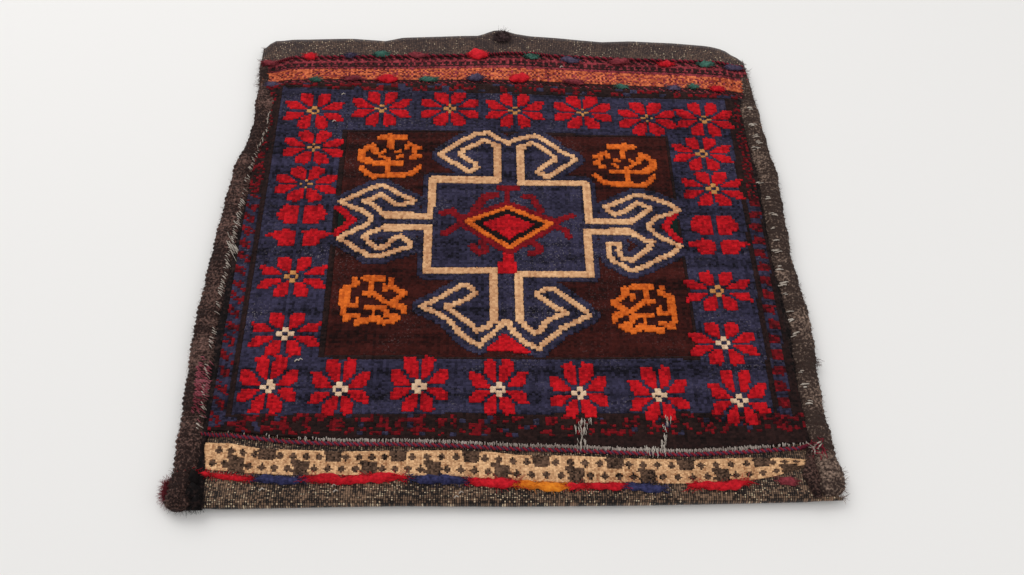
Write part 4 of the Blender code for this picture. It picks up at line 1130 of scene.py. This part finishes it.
rng = random.Random(31)
bm = bmesh.new()
y = 175.0
while y > -214:
    if rng.random() < read(STITCHES_SHOW, y):
        for _ in range(rng.choice((1, 1, 2))):
            x = binding_centre(-1, y) + rng.uniform(4.0, 7.0)
            heading = (0.8, rng.uniform(-0.9, -0.1)) if y < 120 else (rng.uniform(-0.4, 0.4), -1.0)
            stitch(bm, -1, x, y, heading, rng.uniform(2.2, 5.2), rng.uniform(0.28, 0.55))
    y -= rng.uniform(1.8, 3.0)
for i in range(15):
    heading = (0.5 + rng.uniform(-0.16, 0.16), -0.9)
    stitch(bm, -1, -283 + 0.7 * i, rng.uniform(-7, 8) - 0.9 * i, heading, rng.uniform(7, 14),
           rng.uniform(0.25, 0.42))
finish(bm, "left_repair_stitches", STITCH_WOOL, "cream")
bm = bmesh.new()
for at_x, at_y, count in RIGHT_FLECKS:
    for _ in range(count):
        heading = (1.0, rng.uniform(-0.35, 0.35)) if at_y > -200 else (rng.uniform(-1, 1), rng.uniform(-1, 1))
        stitch(bm, 1, at_x + rng.uniform(-5, 1), at_y + rng.uniform(-3, 3), heading, rng.uniform(2.5, 6),
               rng.uniform(0.4, 0.9))
finish(bm, "right_repair_stitches", STITCH_WOOL, "cream")
MAROON_STITCHES = 190
MAROON_THREAD = wool("maroon_thread", (0.44, 0.15, 0.19), (0.84, 0.52, 0.56), fibre=0.8, size=500.0)
bm = bmesh.new()
for _ in range(MAROON_STITCHES):
    y = rng.gauss(-166, 13)
    heading = (0.8, rng.uniform(-0.9, 0.2))
    stitch(bm, -1, binding_centre(-1, y) + rng.uniform(-3, 8), y, heading, rng.uniform(2.5, 6),
           rng.uniform(0.28, 0.5))
finish(bm, "left_maroon_stitches", MAROON_THREAD, "maroon")

# %% [markdown]
# A twined cord is two coloured strands laid round each other across the warp.  Each strand follows its own
# helix about the cord's line, and the other strand is half a turn behind it.

# %% Twined cords
NEAR_CORD = [(-279, -212), (-250, -215), (-200, -222), (-150, -225.5), (-100, -226.5), (-50, -228.5), (0, -232),
             (50, -234.5), (100, -238.5), (150, -241), (200, -239), (250, -236), (262, -231), (268, -226)]
FAR_CORD = [(-279, 250), (-270, 254.5), (-258, 258.5), (-245, 262), (-200, 264.5), (-150, 268), (-100, 271.5),
            (-50, 274.5), (-20, 277), (0, 280), (30, 280), (50, 277), (100, 275.5), (150, 274), (200, 273),
            (240, 272), (275, 269)]

NEAR_PITCH, FAR_PITCH = 4.8, 5.6
FRAYED_ENDS = 34


def cord_strand(name, line, pitch, thick, phase, material, slot, replaces=()):
    """One strand of a twined cord."""
    length = sum((Vector(a) - Vector(b)).length for a, b in zip(line, line[1:]))
    places = [i / (len(line) - 1) for i in range(len(line))]
    lie_x = [(share, point[0]) for share, point in zip(places, line)]
    lie_y = [(share, point[1]) for share, point in zip(places, line)]

    def shape(along, turn):
        x, y = read(lie_x, along), read(lie_y, along)
        twist = 2 * pi * length * along / pitch + phase
        level = cloth_top(x, y) + 1.5 * thick
        y += 0.75 * thick * cos(twist)
        z = level + 0.75 * thick * sin(twist)
        end = min(1.0, 0.3 + min(along, 1 - along) * 120)
        fat = thick * end * (1 + 0.12 * sin(2.7 * twist))
        return x, y + fat * cos(turn), z + fat * sin(turn)

    bm = bmesh.new()
    tube(bm, round(length / 0.8), 7, shape)
    finish(bm, name, material, slot, replaces)


CORD_RED = wool("cord_red", (0.42, 0.08, 0.14), (0.72, 0.24, 0.30), fibre=0.8)
CORD_BLUE = wool("cord_blue", (0.20, 0.13, 0.22), (0.48, 0.34, 0.44), fibre=0.8)
CORD_DARK = wool("cord_dark", (0.12, 0.05, 0.06), (0.40, 0.18, 0.19), fibre=0.8)
cord_strand("near_cord_red", NEAR_CORD, NEAR_PITCH, 1.25, 0.0, CORD_RED, "crimson", ["near_twined_cord"])
cord_strand("near_cord_blue", NEAR_CORD, NEAR_PITCH, 1.0, pi, CORD_BLUE, "navy")
cord_strand("far_cord_crimson", FAR_CORD, FAR_PITCH, 1.2, 0.0, CORD_RED, "crimson", ["far_twined_cord"])
cord_strand("far_cord_dark", FAR_CORD, FAR_PITCH, 1.1, pi, CORD_DARK, "black")
rng = random.Random(37)
bm = bmesh.new()
for _ in range(FRAYED_ENDS):
    x, y = rng.uniform(260, 272), rng.uniform(-244, -227)
    heading = (rng.uniform(-1, 1), rng.uniform(-1, 1), 0.05)
    strand(bm, wander(rng, (x, y, shoulder(1, x, y) + 0.4), heading, rng.uniform(3, 8), -0.04), 0.5, sides=5)
finish(bm, "frayed_cord_end", CORD_RED, "crimson")

# %% [markdown]
# Along the near edge of the pile a line of light warp ends shows where the pile has worn off.  It is clear on
# the right of the middle and comes and goes elsewhere.  Two small bundles of warp have worn free above it.

# %% Warp ends and worn spots
WARP_SHOWS = [(-272, 0.0), (-200, 0.08), (-175, 0.3), (-165, 0.9), (-130, 0.9), (-110, 0.6), (-40, 0.75),
              (-10, 1.0), (215, 1.0), (225, 0.3), (262, 0.15)]
# Each bundle: left and right side, far and near end, count of ends
WORN_BUNDLES = [(50, 67, -203, -212, 12), (52, 62, -210, -224, 14), (53, 61, -222, -234, 10),
                (133, 140, -200, -208, 5), (130, 135, -206, -226, 10), (126, 131, -222, -236, 8),
                (112, 130, -232, -241, 22)]
WORN_SPOTS = [(-190, 162), (-199, -142), (-183, 203), (-196, -141), (-156, -264), (-154, -269), (-216, -266),
              (-52, -276), (-48, -272), (62, 256)]


def floss(bm, rng, x, y, length, thick, level):
    """One warp end lying along the bag from (x, y) towards the fold."""
    line = []
    for i in range(4):
        share = i / 3
        line.append((x + rng.uniform(-0.5, 0.5), y - length * share, level + 0.8 * sin(pi * share)))
    strand(bm, line, thick, sides=5, tip=0.7)


rng = random.Random(41)
bm = bmesh.new()
x = -272.0
while x < 258:
    edge = read(NEAR_EDGE, x)
    for _ in range(3):
        if rng.random() < read(WARP_SHOWS, x):
            level = cloth_top(x, edge) + rng.uniform(1.3, 2.6)
            floss(bm, rng, x + rng.uniform(-0.6, 0.6), edge + rng.uniform(0.0, 1.8), rng.uniform(2.6, 4.6),
                  rng.uniform(0.4, 0.7), level)
    x += rng.uniform(1.3, 1.9)
finish(bm, "warp_ends", PALE_FLOSS, "grey", ["near_warp_ends"])

bm = bmesh.new()
for left, right, high, low, count in WORN_BUNDLES:
    for _ in range(count):
        x, y = rng.uniform(left, right), rng.uniform(low + 3, high)
        floss(bm, rng, x, y, rng.uniform(4, 8), rng.uniform(0.22, 0.42), cloth_top(x, y) + 3.9)
for x, y in WORN_SPOTS:
    level = cloth_top(x, y) + (4.0 if y > -215 else 1.0)
    strand(bm, [(x - 2, y - 1, level), (x, y + 1, level + 0.7), (x + 2, y, level)], 0.7, sides=5, tip=0.7)
finish(bm, "worn_warp_bundles", STITCH_WOOL, "cream")

# %% [markdown]
# Rovings are lengths of hardly spun wool, laid on the cloth below the brocade.  They are fat where the wool
# is thick and thin where it was drawn out, and they are fluffy all over.

# %% The roving row
ROVING_LINE = [(-285, -247.5), (-265, -250), (-258, -252), (-225, -256), (-200, -258), (-160, -257.5), (-150, -260),
               (-140, -258), (-100, -257.5), (-70, -260), (-45, -261), (-20, -263), (10, -266.5), (50, -269),
               (75, -268.5), (100, -269), (120, -273), (150, -270), (175, -271), (200, -267), (240, -268)]
ROVINGS = [("red", -286, -262, 2.8), ("red", -260, -225, 3.0), ("navy", -224, -181, 4.4), ("red", -184, -94, 5.2),
           ("navy", -92, -40, 4.8), ("red", -44, 4, 5.2), ("orange", -4, 44, 5.2), ("red", 41, 60, 3.8),
           ("red", 58, 94, 4.0), ("navy", 92, 128, 4.4), ("red", 146, 202, 5.0), ("maroon", 226, 242, 4.6)]
# Each soft wool: its name, darker shade, lighter shade and finish in the record
SOFT_DYES = {"red": ("soft_red", (0.56, 0.03, 0.08), (0.98, 0.16, 0.21), "red"),
             "navy": ("soft_navy", (0.08, 0.08, 0.18), (0.32, 0.32, 0.50), "navy"),
             "orange": ("soft_orange", (0.72, 0.32, 0.05), (1.0, 0.62, 0.18), "orange"),
             "maroon": ("soft_maroon", (0.32, 0.09, 0.12), (0.68, 0.29, 0.32), "maroon"),
             "green": ("soft_green", (0.12, 0.26, 0.23), (0.37, 0.56, 0.49), "dark"),
             "faded": ("faded_navy", (0.15, 0.12, 0.19), (0.42, 0.37, 0.47), "navy")}
ROVING_HAIRS = 4.5           # for each millimetre of length
SOFT_WOOLS = {colour: (wool(name, dark, light, knots=0.2, fibre=1.1, size=380.0), slot)
              for colour, (name, dark, light, slot) in SOFT_DYES.items()}


def roving(bm, rng, left, right, fat):
    """One length of roving along the row."""
    phase = rng.uniform(0, 6)

    def shape(along, turn):
        x = left + (right - left) * along
        lumps = 0.78 + 0.2 * sin(x / 4.7 + phase) * sin(x / 11.0) + 0.13 * sin(x / 1.9 + 2 * turn + phase)
        size = fat * lumps * min(1.0, 0.12 + 5 * min(along, 1 - along))
        y = read(ROVING_LINE, x) + 0.8 * sin(x / 9 + phase)
        level = cloth_top(x, y) + 0.3
        return x, y + size * cos(turn), max(level + size * 0.62 * sin(turn) + 0.5, level - 0.2)

    tube(bm, max(round((right - left) / 1.3), 12), 10, shape)
    for _ in range(round((right - left) * ROVING_HAIRS)):
        x = rng.uniform(left - 1, right + 1)
        y = read(ROVING_LINE, x) + rng.uniform(-0.7, 0.7) * fat
        level = cloth_top(x, y) + 0.6 + rng.uniform(0, 0.45) * fat
        heading = (rng.choice((-1, 1)), rng.uniform(-0.8, 0.8), rng.uniform(-0.1, 0.25))
        loose_hair(bm, rng, (x, y, level), heading, (3, 8), -0.03, (0.18, 0.34))


for colour in ("red", "navy", "orange", "maroon"):
    bm = bmesh.new()
    for wool_name, left, right, fat in ROVINGS:
        if wool_name == colour:
            roving(bm, random.Random(int(left) + 900), left, right, fat)
    material, slot = SOFT_WOOLS[colour]
    finish(bm, f"roving_{colour}", material, slot, ["near_roving_row"] if colour == "red" else [])

# %% [markdown]
# Two rows of little tufts decorate the far band.  Each is a pinch of cut wool drawn through the cloth, so it
# bulges in the middle, comes to a point at both ends and has loose fibres all over.

# %% The tufts
UPPER_TUFTS = [(-272, 254, "maroon", 16, 9), (-226, 264, "red", 14, 11), (-180, 267, "faded", 14, 8),
               (-145, 271, "green", 18, 11), (-104, 272, "maroon", 24, 9), (-34, 276, "red", 24, 18),
               (28, 274, "green", 16, 8), (72, 270, "faded", 22, 10), (130, 270, "maroon", 24, 11),
               (183, 267, "red", 17, 10), (230, 268, "green", 17, 10), (262, 266, "faded", 22, 10)]
LOWER_TUFTS = [(-264, 219, "faded", 16, 10), (-216, 226, "green", 12, 6), (-175, 230, "maroon", 20, 8),
               (-136, 231, "red", 24, 14), (-90, 232, "green", 20, 8), (-37, 236, "faded", 18, 12),
               (13, 237, "red", 24, 16), (75, 234, "maroon", 24, 9), (129, 228, "green", 14, 8),
               (188, 227, "faded", 16, 8), (211, 230, "green", 9, 8), (238, 227, "red", 16, 10)]
TUFT_HAIRS = 130


def tuft(bm, rng, x, y, wide, tall):
    """One tuft of cut wool lying across the band."""
    level = cloth_top(x, y) + 1.0
    slant = rng.uniform(-0.12, 0.12)

    def shape(along, turn):
        share = 2 * along - 1
        size = (1 - abs(share) ** 2.2) ** 0.8 + 0.03
        size *= 1 + 0.16 * sin(9 * along + 2 * turn + x) + 0.10 * sin(19 * along + 3 * turn)
        lie = x + share * wide / 2
        return (lie, y + slant * share * wide + size * tall / 2 * cos(turn) * 0.85,
                level + 1.0 + size * min(tall * 0.3, 3.4) * (sin(turn) * 0.8 + 0.2))

    tube(bm, 18, 12, shape)
    for _ in range(TUFT_HAIRS):
        share = rng.uniform(-0.9, 0.9)
        reach = tall / 2 * (1 - share * share) * 0.8
        place = (x + share * wide / 2, y + rng.uniform(-1, 1) * reach, level + rng.uniform(0.5, 2.8))
        heading = (rng.choice((-1, 1)), rng.uniform(-0.8, 0.8), rng.uniform(0.0, 0.5))
        loose_hair(bm, rng, place, heading, (3, 7), -0.10, (0.2, 0.45))


for colour in ("red", "maroon", "faded", "green"):
    bm = bmesh.new()
    for i, (x, y, wool_name, wide, tall) in enumerate(UPPER_TUFTS + LOWER_TUFTS):
        if wool_name == colour:
            tuft(bm, random.Random(60 + i), x, y, wide, tall)
    material, slot = SOFT_WOOLS[colour]
    finish(bm, f"tufts_{colour}", material, slot)

# %% [markdown]
# The corner tassel hangs on the near left corner, where both bindings of goat hair are knotted in a lump.  At
# the peak of the mouth a tuft of hair is all that is left of a closing loop.

# %% Tassel, corner lump and the tuft at the mouth
LUMP_HAIRS = 260
MOUTH_HAIRS = 70


def lump(bm, rng, place, size, hairs, length, thick):
    """A knotted lump with hair standing out of it."""
    made = bmesh.ops.create_icosphere(bm, subdivisions=3, radius=1.0)
    for vertex in made["verts"]:
        rough = 1 + 0.12 * sin(5 * vertex.co.x + 3 * vertex.co.y) + 0.08 * sin(9 * vertex.co.z + 4 * vertex.co.x)
        vertex.co = [at + value * rough * half for at, value, half in zip(place, vertex.co, size)]
        vertex.co.z = max(vertex.co.z, 0.3)
    for _ in range(hairs):
        out = Vector([rng.uniform(-1, 1), rng.uniform(-1, 1), rng.uniform(-0.3, 1)]).normalized()
        start = [at + value * half * 0.85 for at, value, half in zip(place, out, size)]
        strand(bm, wander(rng, start, out, rng.uniform(0.5, 1.2) * length, -0.12), thick * rng.uniform(0.6, 1.2))


def measured_middle(node):
    """The middle of a CAD node in measured millimetres."""
    x, y, z = middle(node)
    return x - ZERO_X, y - ZERO_Y, z


rng = random.Random(71)
tassel_x, tassel_y, _ = measured_middle("corner_tassel")
bm = bmesh.new()
for i in range(3):
    size = (3.6 - 0.8 * i, 3.4 - 0.5 * i, 3.4 - 0.6 * i)
    lump(bm, rng, (tassel_x + 4 - i, tassel_y - 10 + 5 * i, 4.6), size, LUMP_HAIRS, 8.0, 0.26)
finish(bm, "maroon_tassel", SOFT_WOOLS["maroon"][0], "maroon", ["corner_tassel"])

CORNER_KNOTS = [("corner_goat_lump", DARK_HAIR_AND_SHADE,
                 [(-276, -254, 6, 9, 7.8), (-275, -266, 8, 9, 7.8), (-270, -274, 6, 6, 6.8)]),
                ("corner_brown_knot", GOAT_HAIR, [(-286, -268, 6.5, 9, 7.6), (-281, -275, 8, 6, 6.8)])]
for name, material, knots in CORNER_KNOTS:
    bm = bmesh.new()
    for x, y, wide, tall, high in knots:
        lump(bm, rng, (x, y, 8.0), (wide, tall, high), LUMP_HAIRS, 6.0, 0.24)
    finish(bm, name, material, "goat")

mouth_x, mouth_y, mouth_z = measured_middle("mouth_tuft")
bm = bmesh.new()
lump(bm, rng, (mouth_x - 3, mouth_y + 7, mouth_z - 1), (9.0, 7.0, 2.4), 240, 5.5, 0.26)
for _ in range(MOUTH_HAIRS):
    heading = (-0.1 + rng.uniform(-0.9, 0.9), 1.0, rng.uniform(-0.1, 0.4))
    start = (mouth_x - 3 + rng.uniform(-6, 6), mouth_y + rng.uniform(5, 13), mouth_z + rng.uniform(-2, 2))
    loose_hair(bm, rng, start, heading, (5, 12), -0.06, (0.2, 0.42))
finish(bm, "mouth_hair_tuft", MOUTH_HAIR, "goat", ["mouth_tuft"])

SIDE_TUFTS = [(-280, 226, 40, -1), (-281, 242, 40, -1), (-292, 26, 26, -1), (286, -141, 34, 1),
              (286, -262, 26, 1), (283, -276, 36, 1), (279, 262, 20, 1), (-281, 258, 30, -1)]
bm = bmesh.new()
for x, y, count, way in SIDE_TUFTS:
    for _ in range(count):
        start = (x - way * rng.uniform(0, 5), y + rng.uniform(-6, 6), rng.uniform(3, 10))
        heading = (way, rng.uniform(-0.9, 0.9), rng.uniform(-0.2, 0.4))
        loose_hair(bm, rng, start, heading, (3, 9), -0.08, (0.16, 0.3))
finish(bm, "side_hair_tufts", LOOSE_HAIR, "goat")
